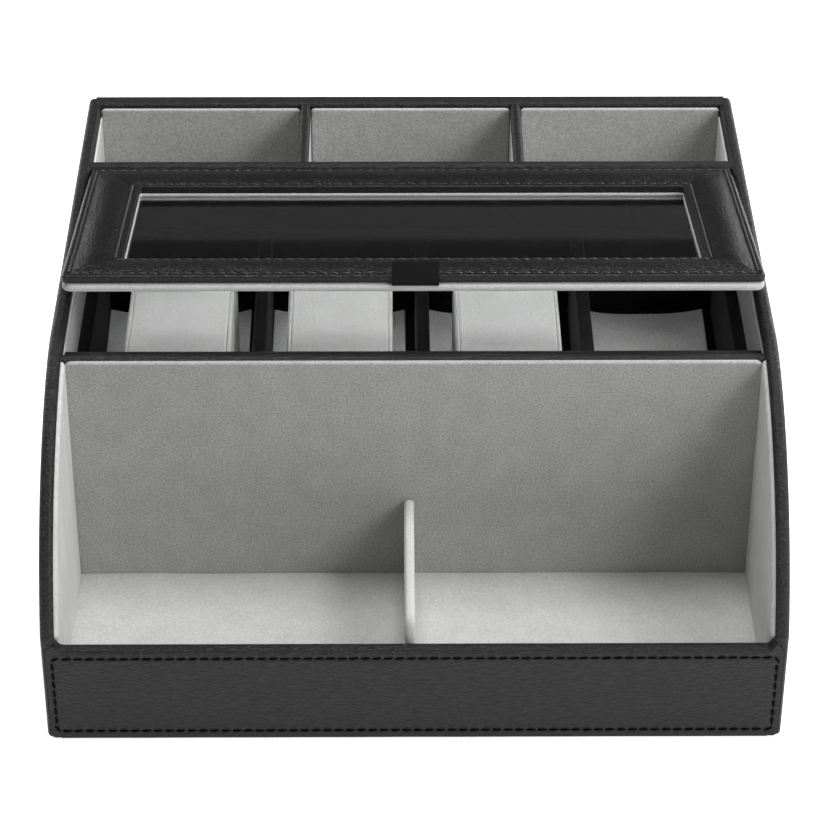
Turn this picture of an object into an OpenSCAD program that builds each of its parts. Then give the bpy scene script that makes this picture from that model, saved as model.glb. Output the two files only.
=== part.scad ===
// Charging valet: a leather-wrapped case with an open front bay, a watch tray under a glazed lid
// and a row of device bays at the back. Sizes are in millimetres.
// +Z is up and +Y points to the back. The origin is under the middle of the case,
// on the surface that it stands on. The lid is drawn standing a little open.

/* [Case] */
// Outside width of the case
case_w = 318; // [290:1:350]
// Outside depth of the case
case_d = 322; // [305:1:350]
// Height of the flat top
case_h = 139.5; // [130:0.5:155]
// Height of the low front
front_h = 48.5; // [35:0.5:60]
// Height of the side edge above the front's top, at the front corner
side_rise = 6.8; // [4:0.1:14]
// Radius of the long curve down the side's front edge
arc_r = 141.5; // [130:0.5:160]
// Radius of the curve that eases the side's flat top into the long curve
blend_r = 80; // [60:1:100]
// Angle from upright at which the easing curve hands over to the long curve
blend_angle = 18; // [12:0.5:24]

/* [Boards and coverings] */
// Thickness of the leather
leather_t = 1; // [0.8:0.1:1.4]
// Thickness of the suede lining on its card
lining_t = 1; // [0.8:0.1:1.6]
// How far the leather turns in over an edge
turn_in = 5.5; // [4:0.1:8]
// How much leather shows above the lining on the bay wall and on the inside of the back
reveal = 1; // [0.5:0.1:3]
// Thickness of the side boards
side_board_t = 4; // [3:0.1:6]
// Thickness of the front board
front_board_t = 4; // [3:0.1:6]
// Thickness of the back board
back_board_t = 6; // [4:0.1:8]
// Thickness of the base board
base_t = 6; // [4:0.1:9]
// Thickness of the felt under the base
felt_t = 2; // [1:0.1:3]
// How far the felt stands below the panels
felt_drop = 0.5; // [0.2:0.1:0.8]
// How much of the front and back leather's ends the side leather covers
corner_wrap = 1.5; // [1:0.1:2]

/* [Front bay] */
// Clear depth of the front bay, from front to back
bay_d = 87.6; // [75:0.1:95]
// Thickness of the wall board behind the front bay
bay_board_t = 5; // [4:0.1:7]
// How far that wall's top lies below the flat top
bay_wall_drop = 4.5; // [3:0.1:8]
// Thickness of the front bay's padded floor
bay_pad_t = 11.2; // [4:0.1:14]
// Thickness of the centre divider
bay_divider_t = 4.4; // [3:0.1:6]
// Height of the centre divider above the floor
bay_divider_h = 42; // [30:0.5:60]
// Place of the centre divider from the middle
bay_divider_x = -2; // [-20:0.5:20]
// Gap between the centre divider and the front
bay_divider_gap = 1; // [0.5:0.1:6]

/* [Rear bays] */
// Thickness of the rear bays' padded floors
floor_pad_t = 4; // [2:0.1:6]
// Clear depth of the rear bays, from front to back
rear_bay_d = 54.2; // [45:0.1:65]
// Thickness of the dividers between the rear bays
rear_divider_t = 5; // [4:0.1:7]
// Thickness of the hinge wall's board
hinge_board_t = 4.6; // [4:0.1:7]
// Radius of the cord grommets' bore
cord_r = 9; // [6:0.5:12]
// Wall of the cord grommets
grommet_wall = 3; // [2:0.1:4]
// Width of the grommets' flange
grommet_flange = 3; // [2:0.1:4]
// Height of the cord grommets' middle above the rear bays' floor
cord_rise = 20; // [18:0.5:40]

/* [Watch tray] */
// How far the tray's rim lies below the flat top
tray_drop = 35; // [30:0.5:40]
// Depth of the tray from its rim to the pads
tray_depth = 42.5; // [36:0.5:48]
// Thickness of the tray's walls
tray_wall_t = 6; // [4:0.1:8]
// Thickness of the tray's base
tray_base_t = 2.5; // [2:0.1:4]
// Thickness of the tray's dividers
tray_divider_t = 6.2; // [4:0.1:8]
// How far the row of dividers sits to the right of the middle
tray_divider_shift = 4.8; // [-6:0.1:6]
// Thickness of the loose floor pads
tray_pad_t = 2; // [1:0.1:3]
// How much narrower and shorter than its slot a floor pad is
tray_pad_play = 4.5; // [2:0.1:6]
// Gap between the tray and the walls around it
tray_gap = 0.3; // [0.2:0.1:1]
// Thickness of the two supports under the tray
tray_support_t = 8; // [5:0.5:12]

/* [Watch pillows] */
// Width of a pillow
pillow_w = 47.2; // [40:0.1:52]
// Length of a pillow from front to back
pillow_l = 79; // [70:0.5:90]
// Gap between a pillow's front and the tray's front wall
pillow_front_gap = 1.5; // [1:0.1:5]
// Gap between the pillows and the closed lid
pillow_headroom = 5; // [3:0.1:10]
// How far the left pillow is moved over in its slot
left_pillow_shift = 5.6; // [-8:0.1:8]
// How far the pillows' tops swell
pillow_crown = 1.2; // [0.5:0.1:3]
// How far the pillows' sides are drawn in
pillow_draw = 1; // [0.5:0.1:2]

/* [Lid] */
// Angle that the lid stands open
lid_ajar = 11.7; // [0:0.1:85]
// Thickness of the lid's leather half at its edge
lid_leather_t = 3.8; // [3.4:0.1:5]
// Thickness of the lid's suede half
lid_lining_t = 4.2; // [3.6:0.1:6]
// How far the closed lid stands above the flat top
lid_proud = 1.2; // [0:0.1:2]
// Gap between the lid and each side
lid_side_gap = 0.75; // [0.5:0.05:1.5]
// Gap between the closed lid and the bay wall
lid_front_gap = 2.7; // [2.4:0.1:4]
// Gap between the lid and the hinge wall
lid_rear_gap = 0.4; // [0.3:0.05:1]
// Width of the frame in front of the window
lid_front_rail = 22; // [18:0.5:28]
// Width of the frame at each side of the window
lid_side_rail = 25; // [20:0.5:32]
// Width of the frame behind the window
lid_rear_rail = 30; // [26:0.5:36]
// Width of the padding around the window
pad_w = 18; // [12:0.5:18]
// How far the padding swells above the frame's edge
lid_crown = 2.5; // [1:0.1:4]
// Thickness of the frame board under the padding
lid_board_t = 2.3; // [1.5:0.1:2.6]
// Leather left around the frame board
lid_board_inset = 1.2; // [1:0.1:2]
// Thickness of the glass
glass_t = 2.5; // [2:0.1:3]
// How far the glass reaches under the frame
glass_lap = 6; // [4:0.1:9]
// How far the suede shows inside the window
lining_show = 1; // [0.5:0.1:2]
// Clearance around the glass
glass_gap = 0.1; // [0.05:0.05:0.3]
// Gap between the closed lid and its rest strip
lid_rest_gap = 0.3; // [0.2:0.1:0.6]
// Thickness of the rest strip
lid_rest_t = 4.2; // [3.4:0.1:5]

/* [Pull tab] */
// Width of the folded tab
tab_w = 20.4; // [14:0.2:26]
// Thickness of the folded tab
tab_t = 1.4; // [1:0.1:1.8]
// How far the tab stands above the lid's edge
tab_rise = 6.8; // [4:0.1:12]
// Length of the tab's tail inside the lid
tab_tail = 8; // [5:0.5:12]
// Place of the tab from the middle
tab_x = 0.8; // [-10:0.1:10]

/* [Hinge] */
// Depth of the hinge axis below the lid's top
hinge_drop = 5; // [4.6:0.1:5.2]
// Diameter of the hinge pins
pin_d = 2.5; // [2:0.1:2.8]
// Length of pin inside the lid
pin_reach = 14; // [8:0.5:20]
// Outside diameter of the bushes
bush_d = 4; // [3.4:0.1:4.4]
// Diameter of the rail that holds the bushes
rail_d = 5.4; // [5:0.1:5.8]
// Running clearance of the pins in their bushes, on the radius
pin_run = 0.05; // [0.02:0.01:0.08]
// Fit of the fixed round pieces, on the radius
press_gap = 0.02; // [0.01:0.01:0.04]
// Clearance of the pins through the turned-in leather, on the radius
pin_pass = 0.3; // [0.2:0.1:0.5]

/* [Hidden] */

// Colours of the finishes
leather_c = "#38383a";
suede_c = "#bcbcba";
velvet_c = "#161616";
board_c = "#a98f6b";
felt_c = "#202020";
brass_c = "#b59a57";
steel_c = "#9c9c9c";

// A little extra length for cutters that run out through a face
over = 1;

// Planes of the case
front_y = -case_d / 2;
back_y = case_d / 2;
side_t = leather_t + side_board_t + lining_t;
side_in = case_w / 2 - side_t;
inner_w = 2 * side_in;
board_in = side_in + lining_t;
panel_z = felt_drop;
base_top = felt_t + base_t;
floor_z = base_top + floor_pad_t;
bay_floor_z = base_top + bay_pad_t;
edge_drop = leather_t + turn_in;
reveal_drop = leather_t + reveal;
face_half = case_w / 2 - corner_wrap;
front_in = front_y + leather_t + front_board_t + lining_t;
back_in = back_y - leather_t - back_board_t - lining_t;

// The side's outline: flat top, easing curve, long curve, upright front
side_front_h = front_h + side_rise;
blend_z = case_h - blend_r;
arc_z = blend_z - (arc_r - blend_r) * cos(blend_angle);
arc_y = front_y + sqrt(pow(arc_r, 2) - pow(side_front_h - arc_z, 2));
blend_y = arc_y - (arc_r - blend_r) * sin(blend_angle);
arc_step = 3;

// Walls across the case
bay_wall_y = front_in + bay_d;
bay_wall_t = 2 * lining_t + bay_board_t;
bay_wall_h = case_h - bay_wall_drop;
watch_y = bay_wall_y + bay_wall_t;
hinge_wall_t = 2 * lining_t + hinge_board_t;
hinge_wall_back = back_in - rear_bay_d;
hinge_wall_y = hinge_wall_back - hinge_wall_t;

// Rear bays
rear_bay_n = 3;
rear_bay_w = (inner_w - (rear_bay_n - 1) * rear_divider_t) / rear_bay_n;
rear_pitch = rear_bay_w + rear_divider_t;
rear_bay_x = [for (i = [0 : rear_bay_n - 1]) (i - (rear_bay_n - 1) / 2) * rear_pitch];
grommet_r = cord_r + grommet_wall;
flange_r = grommet_r + grommet_flange;
cord_z = floor_z + cord_rise;

// Watch tray
slot_n = 4;
tray_half = side_in - tray_gap;
tray_y0 = watch_y + tray_gap;
tray_y1 = hinge_wall_y - tray_gap;
tray_in_y0 = tray_y0 + tray_wall_t;
tray_in_y1 = tray_y1 - tray_wall_t;
tray_in_half = tray_half - tray_wall_t;
tray_rim_z = case_h - tray_drop;
tray_pad_top = tray_rim_z - tray_depth;
tray_base_top = tray_pad_top - tray_pad_t;
tray_base_z = tray_base_top - tray_base_t;
slot_w = (2 * tray_in_half - (slot_n - 1) * tray_divider_t) / slot_n;
tray_divider_x = [for (i = [0 : slot_n - 2])
    (i - (slot_n - 2) / 2) * (slot_w + tray_divider_t) + tray_divider_shift];
slot_left = concat([-tray_in_half], [for (x = tray_divider_x) x + tray_divider_t / 2]);
slot_right = concat([for (x = tray_divider_x) x - tray_divider_t / 2], [tray_in_half]);

// Lid, shut
lid_t = lid_leather_t + lid_lining_t;
lid_half = side_in - lid_side_gap;
lid_front = watch_y + lid_front_gap;
lid_back = hinge_wall_y - lid_rear_gap;
lid_top = case_h + lid_proud;
lid_bottom = lid_top - lid_t;
lid_split = lid_bottom + lid_lining_t;
window_half = lid_half - lid_side_rail;
window_front = lid_front + lid_front_rail;
window_back = lid_back - lid_rear_rail;
hinge_z = lid_top - hinge_drop;
hinge_y = lid_back - hinge_drop;

// Watch pillows
pillow_h = lid_bottom - pillow_headroom - tray_pad_top;
pillow_y = tray_in_y0 + pillow_front_gap + pillow_l / 2;
pillow_power = 0.25;
pillow_rings = 20;
pillow_ring_points = 36;
pillow_reach = max([for (j = [1 : pillow_rings - 1]) pillow_side(180 * j / pillow_rings)]);

// Building blocks

// A box between two corners
module block(low, high) {
    translate(low) cube(high - low);
}

// A round bar along X between two places
module bar_x(x0, x1, r, y, z) {
    translate([x0, y, z]) rotate([0, 90, 0]) cylinder(r = r, h = x1 - x0, $fn = 48);
}

// A round bar along Y between two places
module bar_y(y0, y1, r, x, z) {
    translate([x, y0, z]) rotate([-90, 0, 0]) cylinder(r = r, h = y1 - y0, $fn = 48);
}

// The side's outline seen from the right, drawn in by an inset. At the bottom it is drawn in
// by the leather's thickness at most.
module side_outline(inset) {
    foot = panel_z + min(inset, leather_t);
    front_angle = 180 - acos((arc_y - front_y - inset) / (arc_r - inset));
    hand_angle = 90 + blend_angle;
    arc_n = ceil((front_angle - hand_angle) / arc_step);
    blend_n = ceil(blend_angle / arc_step);
    long_curve = [for (i = [0 : arc_n])
        let (a = front_angle + (hand_angle - front_angle) * i / arc_n)
        [arc_y + (arc_r - inset) * cos(a), arc_z + (arc_r - inset) * sin(a)]];
    easing = [for (i = [1 : blend_n])
        let (a = hand_angle - blend_angle * i / blend_n)
        [blend_y + (blend_r - inset) * cos(a), blend_z + (blend_r - inset) * sin(a)]];
    polygon(concat(
        [[front_y + inset, foot]],
        long_curve,
        easing,
        [[back_y - inset, case_h - inset], [back_y - inset, foot]]
    ));
}

// A slab of the side's outline between two planes
module side_slab(x0, x1, inset) {
    translate([x0, 0, 0]) rotate([90, 0, 90]) linear_extrude(x1 - x0) side_outline(inset);
}

// A leather cap over the top edge of a board across the case, hanging down by a drop on both faces
module edge_cap(half, y0, y1, top, drop) {
    difference() {
        block([-half, y0, top - drop], [half, y1, top]);
        block([-half - over, y0 + lining_t, top - drop - over],
            [half + over, y1 - lining_t, top - leather_t]);
    }
}

// Turns what is drawn shut to the angle that the lid stands at
module lid_pose() {
    translate([0, hinge_y, hinge_z]) rotate([-lid_ajar, 0, 0]) translate([0, -hinge_y, -hinge_z]) children();
}

// Base

module base_board() {
    color(board_c) block([-side_in, front_y + leather_t + front_board_t, felt_t],
        [side_in, back_y - leather_t - back_board_t, base_top]);
}

module base_felt() {
    color(felt_c) block([-side_in, front_y + leather_t + front_board_t, 0],
        [side_in, back_y - leather_t - back_board_t, felt_t]);
}

// Sides, drawn on the right and mirrored to the left

module side_board() {
    difference() {
        side_slab(board_in, board_in + side_board_t, leather_t);
        bar_x(board_in - over, board_in + side_board_t - leather_t, pin_d / 2 + press_gap, hinge_y, hinge_z);
    }
}

module side_leather() {
    difference() {
        side_slab(side_in, case_w / 2, 0);
        side_slab(board_in, board_in + side_board_t, leather_t);
        side_slab(side_in - over, board_in, edge_drop);
        block([side_in - over, front_y - over, 0], [face_half, front_y + leather_t, front_h]);
        block([side_in - over, back_y - leather_t, 0], [face_half, back_y + over, case_h - leather_t]);
        bar_x(side_in - over, board_in, pin_d / 2 + pin_pass, hinge_y, hinge_z);
    }
}

module side_lining() {
    side_slab(side_in, board_in, edge_drop);
}

module right_side_board() {
    color(board_c) side_board();
}

module left_side_board() {
    color(board_c) mirror([1, 0, 0]) side_board();
}

module right_side_leather() {
    color(leather_c) side_leather();
}

module left_side_leather() {
    color(leather_c) mirror([1, 0, 0]) side_leather();
}

module right_side_lining() {
    color(suede_c) side_lining();
}

module left_side_lining() {
    color(suede_c) mirror([1, 0, 0]) side_lining();
}

// Front

module front_board() {
    color(board_c) block([-side_in, front_y + leather_t, panel_z + leather_t],
        [side_in, front_y + leather_t + front_board_t, front_h - leather_t]);
}

module front_leather() {
    color(leather_c) union() {
        block([-face_half, front_y, panel_z], [face_half, front_y + leather_t, front_h]);
        block([-side_in, front_y, panel_z],
            [side_in, front_y + leather_t + front_board_t, panel_z + leather_t]);
        block([-side_in, front_y, front_h - leather_t], [side_in, front_in, front_h]);
        block([-side_in, front_in - lining_t, front_h - edge_drop], [side_in, front_in, front_h]);
    }
}

module front_lining() {
    color(suede_c) block([-side_in, front_in - lining_t, base_top], [side_in, front_in, front_h - edge_drop]);
}

// Back

module back_board() {
    color(board_c) difference() {
        block([-side_in, back_y - leather_t - back_board_t, panel_z + leather_t],
            [side_in, back_y - leather_t, case_h - leather_t]);
        for (x = rear_bay_x)
            bar_y(back_in - over, back_y + over, grommet_r + press_gap, x, cord_z);
    }
}

module back_leather() {
    color(leather_c) difference() {
        union() {
            block([-face_half, back_y - leather_t, panel_z], [face_half, back_y, case_h - leather_t]);
            block([-side_in, back_y - leather_t, panel_z], [side_in, back_y, case_h]);
            block([-side_in, back_y - leather_t - back_board_t, panel_z],
                [side_in, back_y, panel_z + leather_t]);
            block([-side_in, back_in, case_h - leather_t], [side_in, back_y, case_h]);
            block([-side_in, back_in, case_h - reveal_drop], [side_in, back_in + lining_t, case_h]);
        }
        for (x = rear_bay_x)
            bar_y(back_y - leather_t - over, back_y + over, flange_r + press_gap, x, cord_z);
    }
}

module cord_grommets() {
    color(velvet_c) for (x = rear_bay_x) {
        difference() {
            union() {
                bar_y(back_in, back_y, grommet_r, x, cord_z);
                bar_y(back_y - leather_t, back_y, flange_r, x, cord_z);
            }
            bar_y(back_in - over, back_y + over, cord_r, x, cord_z);
        }
    }
}

// Front bay

module bay_wall_board() {
    color(board_c) block([-side_in, bay_wall_y + lining_t, base_top],
        [side_in, watch_y - lining_t, bay_wall_h - leather_t]);
}

module bay_wall_edging() {
    color(leather_c) edge_cap(side_in, bay_wall_y, watch_y, bay_wall_h, reveal_drop);
}

module bay_wall_lining() {
    color(suede_c) block([-side_in, bay_wall_y, base_top],
        [side_in, bay_wall_y + lining_t, bay_wall_h - reveal_drop]);
}

module bay_wall_facing() {
    color(velvet_c) block([-side_in, watch_y - lining_t, base_top],
        [side_in, watch_y, bay_wall_h - reveal_drop]);
}

module bay_floor_pad() {
    color(suede_c) block([-side_in, front_in, base_top], [side_in, bay_wall_y, bay_floor_z]);
}

module bay_divider() {
    r = bay_divider_t / 2;
    top = bay_floor_z + bay_divider_h;
    y0 = front_in + bay_divider_gap;
    color(suede_c) union() {
        block([bay_divider_x - r, y0, bay_floor_z], [bay_divider_x + r, bay_wall_y, top - r]);
        bar_y(y0, bay_wall_y, r, bay_divider_x, top - r);
    }
}

module lid_rest() {
    color(velvet_c) block([-tray_half, watch_y, tray_rim_z],
        [tray_half, watch_y + lid_rest_t, lid_bottom - lid_rest_gap]);
}

// Rear bays

module hinge_wall_board() {
    color(board_c) block([-side_in, hinge_wall_y + lining_t, base_top],
        [side_in, hinge_wall_back - lining_t, case_h - leather_t]);
}

module hinge_wall_edging() {
    color(leather_c) edge_cap(side_in, hinge_wall_y, hinge_wall_back, case_h, edge_drop);
}

module hinge_wall_facing() {
    color(velvet_c) block([-side_in, hinge_wall_y, base_top],
        [side_in, hinge_wall_y + lining_t, case_h - edge_drop]);
}

// One suede-covered divider with a tongue for its cap
module rear_divider(x) {
    half = rear_divider_t / 2;
    color(suede_c) union() {
        block([x - half, hinge_wall_back, base_top], [x + half, back_in, case_h - edge_drop]);
        block([x - half + lining_t, hinge_wall_back, base_top],
            [x + half - lining_t, back_in, case_h - leather_t]);
    }
}

module rear_divider_left() {
    rear_divider(-rear_pitch / 2);
}

module rear_divider_right() {
    rear_divider(rear_pitch / 2);
}

module rear_divider_caps() {
    half = rear_divider_t / 2;
    tongue = half - lining_t;
    color(leather_c) for (x = [-rear_pitch / 2, rear_pitch / 2]) {
        difference() {
            block([x - half, hinge_wall_back, case_h - edge_drop], [x + half, back_in, case_h]);
            block([x - tongue, hinge_wall_back - over, case_h - edge_drop - over],
                [x + tongue, back_in + over, case_h - leather_t]);
        }
    }
}

module rear_bay_back_linings() {
    half = rear_bay_w / 2;
    color(suede_c) for (x = rear_bay_x) {
        difference() {
            block([x - half, back_in, base_top], [x + half, back_in + lining_t, case_h - reveal_drop]);
            bar_y(back_in - over, back_in + lining_t + over, grommet_r + press_gap, x, cord_z);
        }
    }
}

module rear_bay_front_linings() {
    half = rear_bay_w / 2;
    color(suede_c) for (x = rear_bay_x)
        block([x - half, hinge_wall_back - lining_t, base_top],
            [x + half, hinge_wall_back, case_h - edge_drop]);
}

module rear_bay_floor_pads() {
    half = rear_bay_w / 2;
    color(suede_c) for (x = rear_bay_x)
        block([x - half, hinge_wall_back, base_top], [x + half, back_in, floor_z]);
}

// Watch tray

module tray_base() {
    color(velvet_c) block([-tray_half, tray_y0, tray_base_z], [tray_half, tray_y1, tray_base_top]);
}

module tray_front_wall() {
    color(velvet_c) block([-tray_half, tray_y0, tray_base_top], [tray_half, tray_in_y0, tray_rim_z]);
}

module tray_rear_wall() {
    color(velvet_c) block([-tray_half, tray_in_y1, tray_base_top], [tray_half, tray_y1, tray_rim_z]);
}

module tray_left_wall() {
    color(velvet_c) block([-tray_half, tray_in_y0, tray_base_top], [-tray_in_half, tray_in_y1, tray_rim_z]);
}

module tray_right_wall() {
    color(velvet_c) block([tray_in_half, tray_in_y0, tray_base_top], [tray_half, tray_in_y1, tray_rim_z]);
}

// One divider of the tray
module tray_divider(x) {
    half = tray_divider_t / 2;
    color(velvet_c) block([x - half, tray_in_y0, tray_base_top], [x + half, tray_in_y1, tray_rim_z]);
}

module tray_divider_left() {
    tray_divider(tray_divider_x[0]);
}

module tray_divider_mid() {
    tray_divider(tray_divider_x[1]);
}

module tray_divider_right() {
    tray_divider(tray_divider_x[2]);
}

// The loose pads lie against the left and front of their slots
module tray_floor_pads() {
    color(suede_c) for (i = [0 : slot_n - 1])
        block([slot_left[i], tray_in_y0, tray_base_top],
            [slot_right[i] - tray_pad_play, tray_in_y1 - tray_pad_play, tray_pad_top]);
}

module tray_supports() {
    color(board_c) for (y = [watch_y, hinge_wall_y - tray_support_t])
        block([-tray_half, y, base_top], [tray_half, y + tray_support_t, tray_base_z]);
}

// Watch pillows

// A number raised to a power with its sign kept
function signed_pow(v, p) = sign(v) * pow(abs(v), p);

// How far a ring stands from the pillow's middle before it is brought to the pillow's width.
// The side's middle, where the rings close up, lies further in than its rim.
function pillow_side(v) =
    let (q = pow(sin(v), pillow_power))
    -signed_pow(cos(v), pillow_power) * (pillow_w / 2 - pillow_draw * (1 - q * q));

// One ring of a pillow. The angle v runs from the left side to the right side. The ring is a round-cornered
// oblong, flat at the bottom, that swells at the top towards the pillow's middle.
function pillow_ring(v) =
    let (q = pow(sin(v), pillow_power))
    let (u = -signed_pow(cos(v), pillow_power))
    let (x = pillow_side(v) * pillow_w / 2 / pillow_reach)
    let (top = pillow_h - pillow_crown * u * u)
    [for (i = [0 : pillow_ring_points - 1])
        let (a = 360 * i / pillow_ring_points)
        [x, q * signed_pow(cos(a), pillow_power) * pillow_l / 2,
            top / 2 * (1 + q * signed_pow(sin(a), pillow_power))]];

// A firm pillow standing on its flat bottom
module pillow() {
    n = pillow_ring_points;
    m = pillow_rings - 1;
    rings = [for (j = [1 : m]) pillow_ring(180 * j / pillow_rings)];
    half = (pillow_w / 2 - pillow_draw) * pillow_w / 2 / pillow_reach;
    mid = (pillow_h - pillow_crown) / 2;
    points = concat([for (r = rings) each r], [[-half, 0, mid], [half, 0, mid]]);
    sides = [for (j = [0 : m - 2], i = [0 : n - 1])
        let (k = (i + 1) % n)
        each [[j * n + i, j * n + k, (j + 1) * n + k], [j * n + i, (j + 1) * n + k, (j + 1) * n + i]]];
    left_cap = [for (i = [0 : n - 1]) [m * n, (i + 1) % n, i]];
    right_cap = [for (i = [0 : n - 1]) [m * n + 1, (m - 1) * n + i, (m - 1) * n + (i + 1) % n]];
    polyhedron(points, concat(sides, left_cap, right_cap));
}

// A pillow in one slot, moved over by a shift
module slot_pillow(slot, shift) {
    x = (slot_left[slot] + slot_right[slot]) / 2 + shift;
    color(suede_c) translate([x, pillow_y, tray_pad_top]) pillow();
}

module watch_pillow_left() {
    slot_pillow(0, left_pillow_shift);
}

module watch_pillow_mid() {
    slot_pillow(1, 0);
}

module watch_pillow_right() {
    slot_pillow(2, 0);
}

// Lid

// A flat frame around the window, cut back for the hinge rail
module lid_ring(inset, window_inset, z0, z1, back) {
    difference() {
        block([-lid_half + inset, lid_front + inset, z0], [lid_half - inset, back, z1]);
        block([-window_half - window_inset, window_front - window_inset, z0 - over],
            [window_half + window_inset, window_back + window_inset, z1 + over]);
        bar_x(-lid_half - over, lid_half + over, rail_d / 2 + press_gap, hinge_y, hinge_z);
    }
}

// Upper half of the rear edge, round about the hinge axis
module lid_round_edge() {
    intersection() {
        bar_x(-lid_half, lid_half, hinge_drop, hinge_y, hinge_z);
        block([-lid_half, hinge_y - over, lid_split], [lid_half, lid_back, lid_top]);
    }
}

// One swelling of the padding: a shallow round back over a strip with mitred ends.
// The strip runs along X from its outer edge at y = 0 to its inner edge at y = pad_w.
module swell(outer_half) {
    r = (pow(pad_w / 2, 2) + pow(lid_crown, 2)) / (2 * lid_crown);
    inner_half = outer_half - pad_w;
    intersection() {
        linear_extrude(lid_crown)
            polygon([[-outer_half, 0], [outer_half, 0], [inner_half, pad_w], [-inner_half, pad_w]]);
        translate([-outer_half, pad_w / 2, lid_crown - r]) rotate([0, 90, 0])
            cylinder(r = r, h = 2 * outer_half, $fn = 120);
    }
}

// The four swellings around the window
module padding() {
    x_out = window_half + pad_w;
    y_mid = (window_front + window_back) / 2;
    y_half = (window_back - window_front) / 2 + pad_w;
    translate([0, window_front - pad_w, lid_top]) swell(x_out);
    translate([0, window_back + pad_w, lid_top]) mirror([0, 1, 0]) swell(x_out);
    for (s = [0, 1]) mirror([s, 0, 0])
        translate([x_out, y_mid, lid_top]) rotate([0, 0, 90]) swell(y_half);
}

module lid_board() {
    color(board_c) lid_pose()
        lid_ring(lid_board_inset, lid_board_inset, lid_split, lid_split + lid_board_t,
            hinge_y - rail_d / 2 - lid_board_inset);
}

module lid_leather() {
    color(leather_c) lid_pose() difference() {
        union() {
            lid_ring(0, 0, lid_split, lid_top, hinge_y);
            lid_round_edge();
            padding();
        }
        bar_x(-lid_half - over, lid_half + over, rail_d / 2 + press_gap, hinge_y, hinge_z);
        lid_ring(lid_board_inset, lid_board_inset, lid_split - over, lid_split + lid_board_t,
            hinge_y - rail_d / 2 - lid_board_inset);
    }
}

module lid_lining() {
    glass_half = window_half + glass_lap + glass_gap;
    color(suede_c) lid_pose() difference() {
        block([-lid_half, lid_front, lid_bottom], [lid_half, lid_back, lid_split]);
        block([-window_half + lining_show, window_front + lining_show, lid_bottom - over],
            [window_half - lining_show, window_back - lining_show, lid_split + over]);
        block([-glass_half, window_front - glass_lap - glass_gap, lid_split - glass_t - glass_gap],
            [glass_half, window_back + glass_lap + glass_gap, lid_split + over]);
        bar_x(-lid_half - over, lid_half + over, rail_d / 2 + press_gap, hinge_y, hinge_z);
        block([tab_x - tab_w / 2, lid_front - over, lid_split - tab_t],
            [tab_x + tab_w / 2, lid_front + tab_tail, lid_split + over]);
    }
}

module lid_glass() {
    color("#2a2d30", 0.35) lid_pose()
        block([-window_half - glass_lap, window_front - glass_lap, lid_split - glass_t],
            [window_half + glass_lap, window_back + glass_lap, lid_split]);
}

module lid_pull_tab() {
    half = tab_w / 2;
    color(velvet_c) lid_pose() union() {
        block([tab_x - half, lid_front - tab_t, lid_split - tab_t],
            [tab_x + half, lid_front + tab_tail, lid_split]);
        block([tab_x - half, lid_front - tab_t, lid_split - tab_t],
            [tab_x + half, lid_front, lid_top + tab_rise]);
    }
}

// Hinge

module lid_hinge_rail() {
    color(steel_c) lid_pose() difference() {
        bar_x(-lid_half, lid_half, rail_d / 2, hinge_y, hinge_z);
        for (s = [0, 1]) mirror([s, 0, 0])
            bar_x(lid_half - pin_reach, lid_half + over, bush_d / 2 + press_gap, hinge_y, hinge_z);
    }
}

module hinge_bushes() {
    color(brass_c) lid_pose() for (s = [0, 1]) mirror([s, 0, 0])
        difference() {
            bar_x(lid_half - pin_reach, lid_half, bush_d / 2, hinge_y, hinge_z);
            bar_x(lid_half - pin_reach - over, lid_half + over, pin_d / 2 + pin_run, hinge_y, hinge_z);
        }
}

module hinge_pins() {
    color(steel_c) for (s = [0, 1]) mirror([s, 0, 0])
        bar_x(lid_half - pin_reach, board_in + side_board_t - leather_t, pin_d / 2, hinge_y, hinge_z);
}

base_board();
base_felt();
left_side_board();
right_side_board();
left_side_leather();
right_side_leather();
left_side_lining();
right_side_lining();
front_board();
front_leather();
front_lining();
back_board();
back_leather();
bay_wall_board();
bay_wall_edging();
bay_wall_lining();
bay_wall_facing();
bay_floor_pad();
bay_divider();
lid_rest();
hinge_wall_board();
hinge_wall_edging();
hinge_wall_facing();
rear_divider_left();
rear_divider_right();
rear_divider_caps();
rear_bay_back_linings();
rear_bay_front_linings();
rear_bay_floor_pads();
cord_grommets();
tray_base();
tray_front_wall();
tray_rear_wall();
tray_left_wall();
tray_right_wall();
tray_divider_left();
tray_divider_mid();
tray_divider_right();
tray_floor_pads();
tray_supports();
watch_pillow_left();
watch_pillow_mid();
watch_pillow_right();
lid_board();
lid_leather();
lid_lining();
lid_glass();
lid_pull_tab();
lid_hinge_rail();
hinge_bushes();
hinge_pins();
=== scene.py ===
"""Dresses the charging valet: leather skins, suede linings, stitched padded lid, watch pillows and studio.

Lengths are millimetres in the part's own frame, X to the right, Y to the back, Z up, with the origin under the
middle of the case. Meshes are written in metres.
"""

import functools
import logging
import math
import operator
from dataclasses import dataclass
from enum import Enum
from typing import Any, Iterable

import bpy
import numpy as np
from mathutils import Matrix, Vector


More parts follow.
